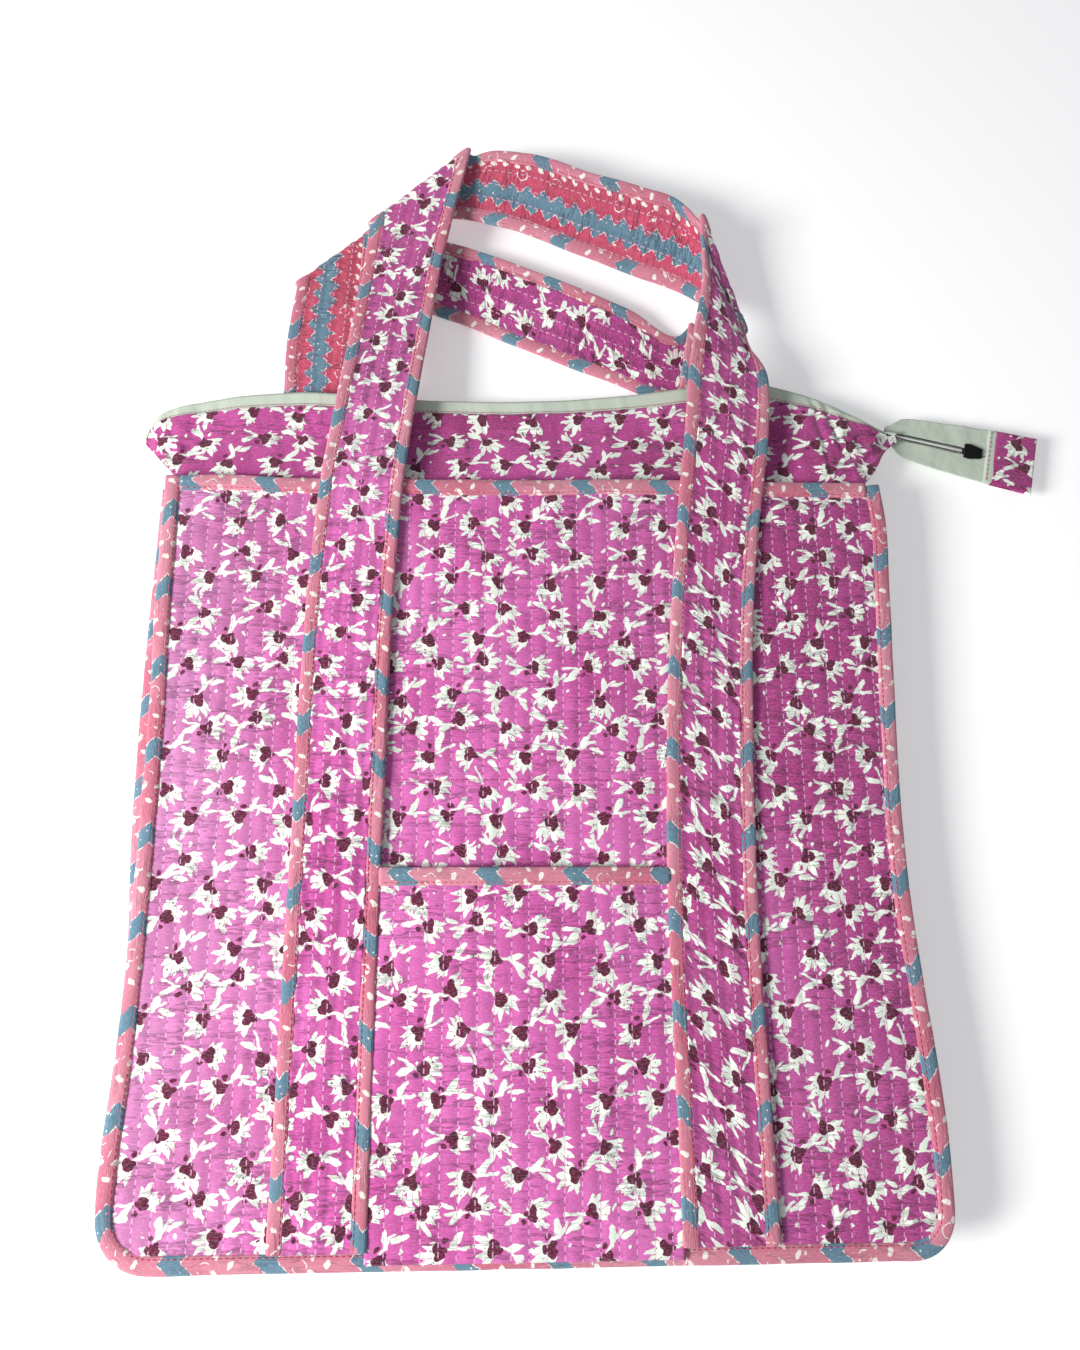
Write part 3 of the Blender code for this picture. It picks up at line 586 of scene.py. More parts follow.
FRONT_LEG_R = [((0.1452, 0.5360, 0.0252), (0.1130, 0.5850, 0.0350)), ((0.1530, 0.5215, 0.0280), (0.1065, 0.5500, 0.0335)),
               ((0.1540, 0.5000, 0.0298), (0.1020, 0.5200, 0.0322)), ((0.1525, 0.4830, 0.0305), (0.0990, 0.4900, 0.0312)),
               ((0.1470, 0.4448, 0.0307), (0.0938, 0.4448, 0.0307))]
FRONT_RIGHT_FOOT = [((0.1400, 0.4000, 0.0307), (0.0885, 0.4000, 0.0307)), ((0.1290, 0.2340, 0.0307), (0.0775, 0.2340, 0.0307)),
                    ((0.1300, 0.0098, 0.0307), (0.0785, 0.0098, 0.0307))]
BACK_LEFT_FOOT = [((-0.1507, 0.0098, 0.00175), (-0.0993, 0.0098, 0.00175)), ((-0.1540, 0.2200, 0.00175), (-0.1026, 0.2200, 0.00175)),
                  ((-0.1600, 0.3900, 0.00175), (-0.1088, 0.3900, 0.00175))]
BACK_LEG_L = [((-0.1620, 0.4448, 0.00175), (-0.1110, 0.4448, 0.00175)), ((-0.1625, 0.5000, 0.0045), (-0.1110, 0.5000, 0.0045)),
              ((-0.1622, 0.5520, 0.0061), (-0.1098, 0.5600, 0.0062))]
BACK_FOLD_1 = ((-0.1580, 0.5930, 0.00615), (-0.1060, 0.6380, 0.0075))
BACK_MID = [((-0.1350, 0.5840, 0.00175), (-0.0980, 0.6330, 0.0035)), ((-0.1000, 0.5850, 0.00175), (-0.0830, 0.6330, 0.0060)),
            ((-0.0600, 0.5740, 0.0018), (-0.0480, 0.6240, 0.0100)), ((-0.0100, 0.5530, 0.0018), (0.0080, 0.6030, 0.0115)),
            ((0.0500, 0.5290, 0.0018), (0.0680, 0.5780, 0.0095)), ((0.0980, 0.5120, 0.0018), (0.1040, 0.5640, 0.0026))]
BACK_FOLD_2 = ((0.1440, 0.5150, 0.00615), (0.1085, 0.5690, 0.0075))
BACK_LEG_R = [((0.1462, 0.4880, 0.0050), (0.1000, 0.5180, 0.0060)), ((0.1475, 0.4448, 0.00175), (0.0960, 0.4448, 0.00175))]
BACK_RIGHT_FOOT = [((0.1440, 0.3900, 0.00175), (0.0925, 0.3900, 0.00175)), ((0.1340, 0.2200, 0.00175), (0.0825, 0.2200, 0.00175)),
                   ((0.1307, 0.0098, 0.00175), (0.0793, 0.0098, 0.00175))]


def fold_rows(line, toward, down, n=9):
    """Lines across the strap round one crease: a half turn about a line, bulging away from `toward`."""
    o, i = np.array(line[0]), np.array(line[1])
    d = (i - o)[:2] / np.linalg.norm((i - o)[:2])
    nrm = np.array([-d[1], d[0]])
    mid = (o + i)[:2] / 2
    if nrm @ (mid - np.array(toward)) < 0:
        nrm = -nrm
    rows = []
    for a in np.linspace(0, math.pi, n):
        k = a if down else math.pi - a
        s = np.array([nrm[0] * FOLD_R * math.sin(k), nrm[1] * FOLD_R * math.sin(k), -FOLD_R * (1 - math.cos(k))])
        rows.append((tuple(o + s), tuple(i + s)))
    return rows


class RowStrap:
    """A strap as a smooth surface through its cross lines; t runs along it, v across (outer edge positive)."""

    def __init__(self, foot_l, leg_l, fold1, mid, fold2, leg_r, foot_r, seed=31):
        self.seed = seed
        f1, f2 = fold_rows(fold1, leg_l[0][0][:2], True), fold_rows(fold2, leg_r[-1][0][:2], False)
        rows = foot_l + leg_l + f1 + mid + f2 + leg_r + foot_r
        self.k_mouth_l = len(foot_l)
        self.k_mouth_r = len(foot_l + leg_l + f1 + mid + f2 + leg_r) - 1
        R = np.array(rows, float)
        c = np.diff(R, axis=0)
        L = np.maximum(np.linalg.norm(c, axis=2, keepdims=True), 1e-6)
        self.t = np.concatenate([[0], np.cumsum(np.maximum(L.mean((1, 2)), 1e-4))])
        way = (c / L / L)[:-1] + (c / L / L)[1:]
        way /= np.linalg.norm(way, axis=2, keepdims=True)
        out, back = (c / L).copy(), (c / L).copy()
        out[1:], back[:-1] = way, way
        # at the first and last line of a fold the cloth slopes only along the crease
        k1, k2 = len(foot_l + leg_l), len(foot_l + leg_l + f1 + mid)
        for k in (k1, k1 + len(f1) - 1, k2, k2 + len(f2) - 1):
            d = R[k, 1] - R[k, 0]
            d = d / np.linalg.norm(d[:2])
            for arr, j in ((back, k - 1), (out, k)):
                w = c[j].copy()
                w[:, 2] = (w[:, :2] @ d[:2]) * d[2]
                arr[j] = w / np.maximum(np.linalg.norm(w, axis=1, keepdims=True), 1e-9)
        self.R, self.out, self.back = R, out * L, back * L
        self.tt = np.linspace(0, self.t[-1], 9001)
        E = self.edges(self.tt)
        seg = np.linalg.norm(np.diff(E, axis=0), axis=2)
        self.len = np.concatenate([np.zeros((1, 2)), np.cumsum(seg, axis=0)])
        self.t_l, self.t_r = self.t[self.k_mouth_l], self.t[self.k_mouth_r]
        zero = [np.interp(self.t_l, self.tt, self.len[:, j]) for j in (0, 1)]
        self.len -= np.array(zero)
        self.mean = self.len.mean(1)

    def edges(self, t):
        k = np.clip(np.searchsorted(self.t, t, side="right") - 1, 0, len(self.t) - 2)
        s = ((t - self.t[k]) / (self.t[k + 1] - self.t[k]))[..., None, None]
        return ((2 * s ** 3 - 3 * s ** 2 + 1) * self.R[k] + (s ** 3 - 2 * s ** 2 + s) * self.out[k]
                + (-2 * s ** 3 + 3 * s ** 2) * self.R[k + 1] + (s ** 3 - s ** 2) * self.back[k])

    def at(self, t, v):
        E = self.edges(t)
        w = ((HW - v) / (2 * HW))[..., None]
        return E[..., 0, :] * (1 - w) + E[..., 1, :] * w

    def length(self, t, v):
        w = (HW - v) / (2 * HW)
        return np.interp(t, self.tt, self.len[:, 0]) * (1 - w) + np.interp(t, self.tt, self.len[:, 1]) * w

    def across(self, t, v):
        e = 4e-5
        a = self.at(t + e, v) - self.at(t - e, v)
        b = self.at(t, v + 1e-4) - self.at(t, v - 1e-4)
        n = np.cross(a, b)
        return n / np.maximum(np.linalg.norm(n, axis=-1, keepdims=True), 1e-12)

    def lay(self, kind):
        """Stations along the strap, close together at the folds."""
        t = [0.0]
        folds = []
        for k in range(len(self.t) - 1):
            if self.t[k + 1] - self.t[k] < 0.0014:
                folds.append((self.t[k] - 0.003, self.t[k + 1] + 0.003))
        folds = np.array(folds)
        while t[-1] < self.t[-1]:
            near = ((t[-1] > folds[:, 0]) & (t[-1] < folds[:, 1])).any()
            t.append(t[-1] + (0.00055 if near else STEP * kind))
        t[-1] = self.t[-1]
        return np.array(t)

    def __call__(self, t, v, h):
        """Point of the strap at t along, v across, h above the middle, with a soft lie of its own."""
        t, v, h = np.broadcast_arrays(np.asarray(t, float), np.asarray(v, float), np.asarray(h, float))
        p = self.at(t, v) + self.across(t, v) * h[..., None]
        free = ease(t, self.t_l + 0.02, self.t_l + 0.07) * ease(-t, -self.t_r + 0.02, -self.t_r + 0.07)
        p[..., 2] += free * fbm(t / 0.045, v / 0.05, self.seed) * 0.0010
        p[..., 1] += YS
        return p

    def run(self, s, v, h):
        """The same with s the length along the strap's middle."""
        return self(np.interp(s, self.mean, self.tt), v, h)

FRONT = RowStrap(FRONT_LEFT_FOOT, FRONT_LEG_L, FRONT_FOLD_1, FRONT_MID, FRONT_FOLD_2, FRONT_LEG_R, FRONT_RIGHT_FOOT)
BACK = RowStrap(BACK_LEFT_FOOT, BACK_LEG_L, BACK_FOLD_1, BACK_MID, BACK_FOLD_2, BACK_LEG_R, BACK_RIGHT_FOOT, 47)


def build_strap(side, S, seed, up):
    """up is +1 when the printed face is the mapping's upper side at the legs."""
    ts = S.lay(1.0)
    nv = 34
    vs = np.linspace(-WEB - 0.0008, WEB + 0.0008, nv)
    T, V = np.meshgrid(ts, vs, indexing="ij")
    Ln = S.length(T, V)
    q = quilt(V + PITCH * 0.5, Ln, seed, 0.00065)
    q2 = quilt(V + PITCH * 0.5, Ln, seed, 0.00055)
    out = []
    uvp = np.stack([V + 0.31 * seed, Ln + 0.173 * seed], -1)
    uvq = np.stack([V - 0.0060 + 0.026, Ln], -1)
    face = shell(f"{side}_strap_face", S(T, V, up * (0.0006 + q)), S(T, V, np.full(T.shape, up * 0.0001)), uvp, M_STRAP)
    rev = shell(f"{side}_strap_reverse", S(T, V, -up * (0.0006 + q2 * 0.9)), S(T, V, np.full(T.shape, -up * 0.0001)), uvq, M_LINING)
    out += [face, rev]
    # folded bindings along both edges
    k = 22
    a = np.linspace(0, 2 * np.pi, k, endpoint=False)
    for nm, sgn in (("outer", 1), ("inner", -1)):
        Tb, A = np.meshgrid(ts, a, indexing="ij")
        ca, sa = np.cos(A), np.sin(A)
        Lb = S.length(Tb, sgn * HW)
        wob = vnoise(Lb / 0.02, A * 0 + sgn * 9, seed + 3)
        half_w = (HW - WEB) / 2 + 0.0002 * wob
        cen = (HW + WEB) / 2
        vv = cen + half_w * np.sign(ca) * np.abs(ca) ** 0.7
        groove = np.exp(-((vv - WEB - 0.0019) / 0.0007) ** 2) * (0.75 + 0.25 * np.cos(2 * np.pi * Lb / 0.0034))
        ruck = fbm(Lb / 0.009, vv / 0.006, seed + 8, 2)
        hh = 0.00188 * np.sign(sa) * np.abs(sa) ** 0.62 * (1 - 0.26 * groove) * (1 + 0.10 * ruck)
        rings = S(Tb, sgn * vv, hh * (-1 if sgn < 0 else 1))
        uv = np.stack([(vv - WEB) + np.where(sa > 0, 0, 0.011), Lb + 0.023 * seed + sgn * 0.012], -1)
        out.append(tube(f"{side}_strap_binding_{nm}", rings, uv, M_TRIM))
    # topstitching on both faces
    for nm, h in (("face", up), ("reverse", -up)):
        out.append(stitch_run(f"{side}_strap_stitching_{nm}", lambda u, v, hh, w=h: S.run(u, v, w * hh),
                              [(S.mean[0] + 0.004, S.mean[-1] - 0.004, WEB + 0.0017), (S.mean[0] + 0.004, S.mean[-1] - 0.004, -WEB - 0.0017)], 0.00158, M_THREAD))
    for o in out:
        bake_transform(o)
    return out


def stitch_run(name, mapping, runs, h, mat, pitch=0.0033, fill=0.74, r=0.00020):
    """Rows of thread: each stitch a small arched tube; a run is (u from, u to, v)."""
    k = 5
    t = np.linspace(0, 1, 5)
    arch = np.sin(np.pi * t) ** 0.6
    rr = r * np.array([0.35, 0.95, 1.0, 0.95, 0.35])
    U, V, H = [], [], []
    for (a, b, v) in runs:
        n = max(int((b - a) / pitch), 1)
        s = a + (np.arange(n) + 0.5) * (b - a) / n
        L = (b - a) / n * fill
        ang = np.linspace(0, 2 * np.pi, k, endpoint=False)
        u = s[:, None, None] + (t[None, :, None] - 0.5) * L + 0 * ang
        vv = v + rr[None, :, None] * np.cos(ang) + 0 * u
        hh = h + (arch * 0.00016)[None, :, None] + rr[None, :, None] * np.sin(ang) + 0 * u
        U.append(u), V.append(vv), H.append(hh)
    U, V, H = np.concatenate(U), np.concatenate(V), np.concatenate(H)
    P = mapping(U, V, H)
    n = len(P)
    idx = np.arange(n * 5 * k).reshape(n, 5, k)
    a, b = idx[:, :-1], idx[:, 1:]
    q = np.stack([a, np.roll(a, -1, 2), np.roll(b, -1, 2), b], -1).reshape(-1, 4)
    me = bpy.data.meshes.new(name)
    ends = np.concatenate([idx[:, 0, ::-1], idx[:, -1]])
    verts = P.reshape(-1, 3)
    me.from_pydata(verts.tolist(), [], q.tolist() + ends.tolist())
    me.polygons.foreach_set("use_smooth", np.ones(len(me.polygons), bool))
    me.materials.append(mat)
    ob = bpy.data.objects.new(name, me)
    bpy.context.scene.collection.objects.link(ob)
    return ob


M_STRAP = cloth_material("strap_print", paint_floral_strap, PINK_DK, stitch=rows_v(0.0))


# ------------------------------------------------------------------ halves of the bag
def soft_interp(y, ys, xs):
    """Side edge through the given points with its corners rounded."""
    y = np.asarray(y, float)
    return sum(np.interp(y + d, ys, xs) * w for d, w in ((-0.016, 1), (-0.008, 2), (0.0, 3), (0.008, 2), (0.016, 1))) / 9.0


def left_front(y):
    return soft_interp(y, [0.04, 0.06, 0.10, 0.14, 0.21, 0.30, 0.36, 0.443],
                       [-0.2266, -0.2264, -0.2236, -0.2225, -0.2220, -0.2228, -0.2252, -0.2258])


def left_back(y):
    return soft_interp(y, [0.04, 0.06, 0.10, 0.14, 0.21, 0.30, 0.36, 0.443],
                       [-0.2262, -0.2262, -0.2262, -0.2285, -0.2338, -0.2358, -0.2356, -0.2350])


def right_front(y):
    return soft_interp(y, [0.03, 0.055, 0.10, 0.14, 0.18, 0.23, 0.30, 0.42, 0.443],
                       [0.2262, 0.2268, 0.2240, 0.2208, 0.2175, 0.2165, 0.2188, 0.2244, 0.2206])


def right_back(y):
    return soft_interp(y, [0.03, 0.055, 0.10, 0.14, 0.18, 0.23, 0.30, 0.42, 0.443],
                       [0.2258, 0.2264, 0.2246, 0.2232, 0.2218, 0.2212, 0.2226, 0.2250, 0.2230])


FRONT_SIDES, BACK_SIDES = (left_front, right_front), (left_back, right_back)


def panel(name, sides, z, sgn, seed, mat, amp, thick, extra=None, inset=0.004, y1=None):
    """Quilted layer filling the outline; z is its inner face and sgn which way it is padded."""
    y1 = BAG_H - 0.004 if y1 is None else y1
    ny, nx = int((y1 - inset) / (STEP * 1.15)), int(BAG_W / STEP)
    y = inset + (y1 - inset) * np.linspace(0, 1, ny) 
    cut = []
    for r in (CORNER_L - inset, CORNER_R - inset):
        dy = np.clip(r - (y - inset), 0, r)
        cut.append(r - np.sqrt(np.maximum(r * r - dy * dy, 0)))
    xl, xr = sides[0](np.maximum(y, 0.04)) + inset + cut[0], sides[1](np.maximum(y, 0.03)) - inset - cut[1]
    s = np.linspace(0, 1, nx)
    X = xl[:, None] + (xr - xl)[:, None] * s
    Y = y[:, None] + 0 * X
    q = quilt(X, Y, seed, amp)
    lie = fbm(X / 0.11, Y / 0.09, seed + 2) * 0.0005
    edge = ease(np.minimum(np.minimum(X - xl[:, None], xr[:, None] - X), np.minimum(Y - inset, y1 - Y)), 0.0, 0.010)
    h = thick + q * edge + lie * edge
    if extra is not None:
        h = h + extra(X, Y)
    top = np.stack([X, Y + YS, z + sgn * h], -1)
    low = np.stack([X, Y + YS, z + 0 * X], -1)
    if sgn < 0:
        top, low = top[:, ::-1], low[:, ::-1]
        X, Y = X[:, ::-1], Y[:, ::-1]
    return shell(name, top, low, np.stack([X, Y], -1), mat)


def outline_path(sides, inset, step=0.002):
    rl, rr = CORNER_L - inset, CORNER_R - inset
    pts = [(float(sides[0](y)) + inset, y) for y in np.linspace(BAG_H - 0.001, 0.040, 60)]
    xl, xr = float(sides[0](0.04)) + inset, float(sides[1](0.03)) - inset
    pts += [(xl + rl + rl * math.cos(a), inset + rl + rl * math.sin(a)) for a in np.linspace(math.pi, 1.5 * math.pi, 20)]
    pts += [(xr - rr + rr * math.cos(a), inset + rr + rr * math.sin(a)) for a in np.linspace(1.5 * math.pi, 2 * math.pi, 20)]
    pts += [(float(sides[1](y)) - inset, y) for y in np.linspace(0.030, BAG_H - 0.001, 60)]
    p = np.array(pts)
    d = np.concatenate([[0], np.cumsum(np.linalg.norm(np.diff(p, axis=0), axis=1))])
    n = int(d[-1] / step)
    s = np.linspace(0, d[-1], n)
    q = np.stack([np.interp(s, d, p[:, 0]), np.interp(s, d, p[:, 1])], -1)
    for _ in range(6):
        q[1:-1] = (q[:-2] + 2 * q[1:-1] + q[2:]) / 4
    return q, s


def planar_binding(name, path, s, w, zc, hz, seed, side, off=0.0):
    """Folded tape round an edge: path is its centre line in the plane, side +1 when its inner edge is on the left."""
    t = np.gradient(path, axis=0)
    t /= np.linalg.norm(t, axis=1, keepdims=True)
    nrm = np.stack([-t[:, 1], t[:, 0]], -1)
    k = 28
    a = np.linspace(0, 2 * np.pi, k, endpoint=False)
    Sg, A = np.meshgrid(s, a, indexing="ij")
    ca, sa = np.cos(A), np.sin(A)
    wob = vnoise(Sg / 0.022, A * 0, seed)
    d = (w / 2 + 0.00025 * wob) * np.sign(ca) * np.abs(ca) ** 0.7
    groove = np.exp(-((d * side - (w / 2 - 0.0017)) / 0.0007) ** 2) * (0.75 + 0.25 * np.cos(2 * np.pi * Sg / 0.0033))
    z = hz * np.sign(sa) * np.abs(sa) ** 0.62 * (1 - 0.16 * groove) * (1 + 0.05 * vnoise(Sg / 0.006, A, seed + 2))
    P = path[:, None, :] + nrm[:, None, :] * d[..., None]
    rings = np.stack([P[..., 0], P[..., 1] + YS, zc + z], -1)
    uv = np.stack([d + np.where(sa > 0, 0, 0.013) + 0.004, Sg + off], -1)

    def mapping(u, v, h):
        px, py = np.interp(u, s, path[:, 0]), np.interp(u, s, path[:, 1])
        nx, ny = np.interp(u, s, nrm[:, 0]), np.interp(u, s, nrm[:, 1])
        return np.stack([px + nx * v, py + ny * v + YS, zc + h], -1)
    return tube(name, rings, uv, M_TRIM), mapping


def straight(p0, p1, step=0.002):
    p0, p1 = np.array(p0, float), np.array(p1, float)
    L = np.linalg.norm(p1 - p0)
    s = np.linspace(0, L, max(int(L / step), 4))
    return p0 + (p1 - p0) * (s / L)[:, None], s


pieces = {}

# front half
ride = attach
fp = panel("front_quilted_panel", FRONT_SIDES, 0.0257, 1, 1, M_PANEL, 0.00070, 0.0019)
fl = panel("front_quilted_lining", FRONT_SIDES, 0.0253, -1, 2, M_LINING, 0.0006, 0.0004)
path, s = outline_path(FRONT_SIDES, 0.0095 / 2)
fb, fb_map = planar_binding("front_edge_binding_tape", path, s, 0.0098, 0.0262, 0.0035, 5, 1)
fst = stitch_run("front_edge_stitching", fb_map, [(0.004, s[-1] - 0.004, 0.0033)], 0.0031, M_THREAD)
path, s = straight((-0.2165, 0.4377), (0.2125, 0.4380))
path[:, 1] += 0.0016 * np.exp(-((path[:, 0] + 0.185) / 0.030) ** 2) + 0.0010 * np.sin(path[:, 0] * 9.0) + 0.0006 * vnoise(path[:, 0] / 0.05, 0 * path[:, 0], 3)
fm, fm_map = planar_binding("front_mouth_binding_tape", path, s, 0.0108, 0.0263, 0.0031, 6, -1, 0.02)
fms = stitch_run("front_mouth_stitching", fm_map, [(0.003, s[-1] - 0.003, -0.0037)], 0.0027, M_THREAD)
for o in (fp, fl, fb, fst, fm, fms):
    ride(o, "front_half")
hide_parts("front_panel")
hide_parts("front_lining")
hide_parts("front_edge_binding")
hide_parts("front_mouth_binding")

# slip pocket, lying over the panel between the straps
PX0, PX1, PY1 = -0.0870, 0.0795, 0.2045
ny, nx = int(PY1 / STEP), int((PX1 - PX0) / STEP)
Y, X = np.meshgrid(np.linspace(0.004, PY1 - 0.004, ny), np.linspace(PX0, PX1, nx), indexing="ij")
bulge = np.clip(np.sin(np.pi * (X - PX0) / (PX1 - PX0)), 0, 1) ** 0.6 * ease(Y, 0.0, 0.12)
zb = 0.0289 + 0.0022 * bulge
hh = 0.0016 + quilt(X + 0.002, Y, 8, 0.00065)
pk = shell("slip_pocket_panel", np.stack([X, Y + YS, zb + hh], -1), np.stack([X, Y + YS, zb], -1),
           np.stack([X + 0.002, Y + 0.007], -1), M_PANEL)
path, s = straight((PX0 + 0.001, PY1 - 0.0050), (PX1 - 0.001, PY1 - 0.0050))
pb, pb_map = planar_binding("slip_pocket_binding_tape", path, s, 0.0100, 0.0, 0.0022, 12, -1, 0.011)


def lift_pocket(o):
    co = np.empty(len(o.data.vertices) * 3, np.float32)
    o.data.vertices.foreach_get("co", co)
    co = co.reshape(-1, 3)
    b = np.clip(np.sin(np.pi * np.clip((co[:, 0] - PX0) / (PX1 - PX0), 0, 1)), 0, 1) ** 0.6
    co[:, 2] += 0.0303 + 0.0022 * b
    o.data.vertices.foreach_set("co", co.ravel())
    o.data.update()


pbs = stitch_run("slip_pocket_stitching", pb_map, [(0.002, s[-1] - 0.002, -0.0034)], 0.0019, M_THREAD)
lift_pocket(pb)
lift_pocket(pbs)
for o in (pk, pb, pbs):
    ride(o, "front_half")
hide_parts("slip_pocket")
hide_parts("slip_pocket_binding")

# back half
bp = panel("back_quilted_panel", BACK_SIDES, 0.0066, -1, 21, M_PANEL, 0.00070, 0.0016)
bl = panel("back_quilted_lining", BACK_SIDES, 0.0068, 1, 22, M_LINING, 0.0006, 0.0004)
path, s = outline_path(BACK_SIDES, 0.0095 / 2)
bb, bb_map = planar_binding("back_edge_binding_tape", path, s, 0.0098, 0.0042, 0.0041, 25, 1, 0.031)
bs1 = stitch_run("back_edge_stitching", lambda u, v, h: bb_map(u, v, -h), [(0.004, s[-1] - 0.004, 0.0033)], 0.0036, M_THREAD)
path, s = straight((-0.2265, 0.4377), (0.2135, 0.4377))
bm_, bm_map = planar_binding("back_mouth_binding_tape", path, s, 0.0108, 0.0062, 0.0031, 26, -1, 0.04)
for o in (bp, bl, bb, bs1, bm_):
    ride(o, "back_half")
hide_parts("back_panel")
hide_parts("back_lining")
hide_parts("back_edge_binding")
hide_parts("back_mouth_binding")

# gusset: a printed strip folded inwards between the two bindings
gp, gs = outline_path((lambda y: (left_front(y) + left_back(y)) / 2, lambda y: (right_front(y) + right_back(y)) / 2), 0.0040)
t = np.gradient(gp, axis=0)
t /= np.linalg.norm(t, axis=1, keepdims=True)
gn = np.stack([-t[:, 1], t[:, 0]], -1)
zz = np.linspace(0, 1, 13)
Sg, Zg = np.meshgrid(gs, zz, indexing="ij")
inn = 0.0030 * np.sin(np.pi * Zg) + 0.0007 * fbm(Sg / 0.02, Zg * 2, 40)
lf = gp[:, None, :] + gn[:, None, :] * inn[..., None]
shift = np.interp(Zg, [0, 1], [0.5, -0.5])
dl = np.where(gp[:, 0] < 0, left_front(gp[:, 1]) - left_back(gp[:, 1]), right_front(gp[:, 1]) - right_back(gp[:, 1]))
G = np.stack([lf[..., 0] - dl[:, None] * shift * 0.9, lf[..., 1] + YS, 0.0070 + 0.0175 * Zg], -1)
G2 = G.copy()
G2[..., :2] += gn[:, None, :] * 0.0011
gus = shell("gusset_strip_cloth", G, G2, np.stack([Zg * 0.03, Sg], -1), M_PLAIN)
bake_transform(gus)
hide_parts("gusset_strip")

# straps and handles
fs = build_strap("front", FRONT, 1, 1)
bs = build_strap("back", BACK, 2, -1)
for side, st in (("front", fs), ("back", bs)):
    names = [n for n in NODES if n.startswith(side + "_strap") or n.startswith(side + "_handle")]
    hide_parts(*[n for n in names if n.endswith("_web")])
    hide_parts(*[n for n in names if n.endswith("_outer")])
    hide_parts(*[n for n in names if n.endswith("_inner")])

# rows of stitches that hold the straps and the pocket down
on_front = lambda u, v, h: np.stack([u, v + YS, h], -1)
hold = stitch_run("strap_hold_stitching", on_front,
                  [(-0.1235, -0.0885, 0.3985), (0.1005, 0.1345, 0.4130), (-0.1260, -0.0900, 0.3020), (0.0965, 0.1300, 0.2900)], 0.0326, M_THREAD_PK)
hold2 = stitch_run("panel_cross_stitching", on_front,
                   [(-0.0790, 0.0780, 0.2540), (0.1400, 0.2130, 0.2560)], 0.0289, M_THREAD_PK)
ride(hold, "front_half")
ride(hold2, "front_half")

# ------------------------------------------------------------------ zip closure
TOP = np.array([(-0.2455, 0.474), (-0.2440, 0.4850), (-0.235, 0.4925), (-0.219, 0.4975), (-0.187, 0.5040), (-0.147, 0.5080), (-0.110, 0.5065), (-0.070, 0.5030),
                (-0.020, 0.5030), (0.019, 0.5045), (0.065, 0.5095), (0.105, 0.5160), (0.135, 0.5200), (0.157, 0.5190), (0.185, 0.5105), (0.215, 0.4960), (0.2345, 0.4870), (0.2430, 0.4865)])
LOW = np.array([(-0.2455, 0.470), (-0.2350, 0.4590), (-0.2180, 0.4400), (-0.12, 0.4360), (0.0, 0.4360), (0.12, 0.4360), (0.2050, 0.4380), (0.2200, 0.4500), (0.2345, 0.4760), (0.2430, 0.4805)])


def smooth_line(P, n, rounds=40):
    d = np.concatenate([[0], np.cumsum(np.linalg.norm(np.diff(P, axis=0), axis=1))])
    s = np.linspace(0, d[-1], n)
    q = np.stack([np.interp(s, d, P[:, 0]), np.interp(s, d, P[:, 1])], -1)
    for _ in range(rounds):
        q[1:-1] = (q[:-2] + 2 * q[1:-1] + q[2:]) / 4
    return q


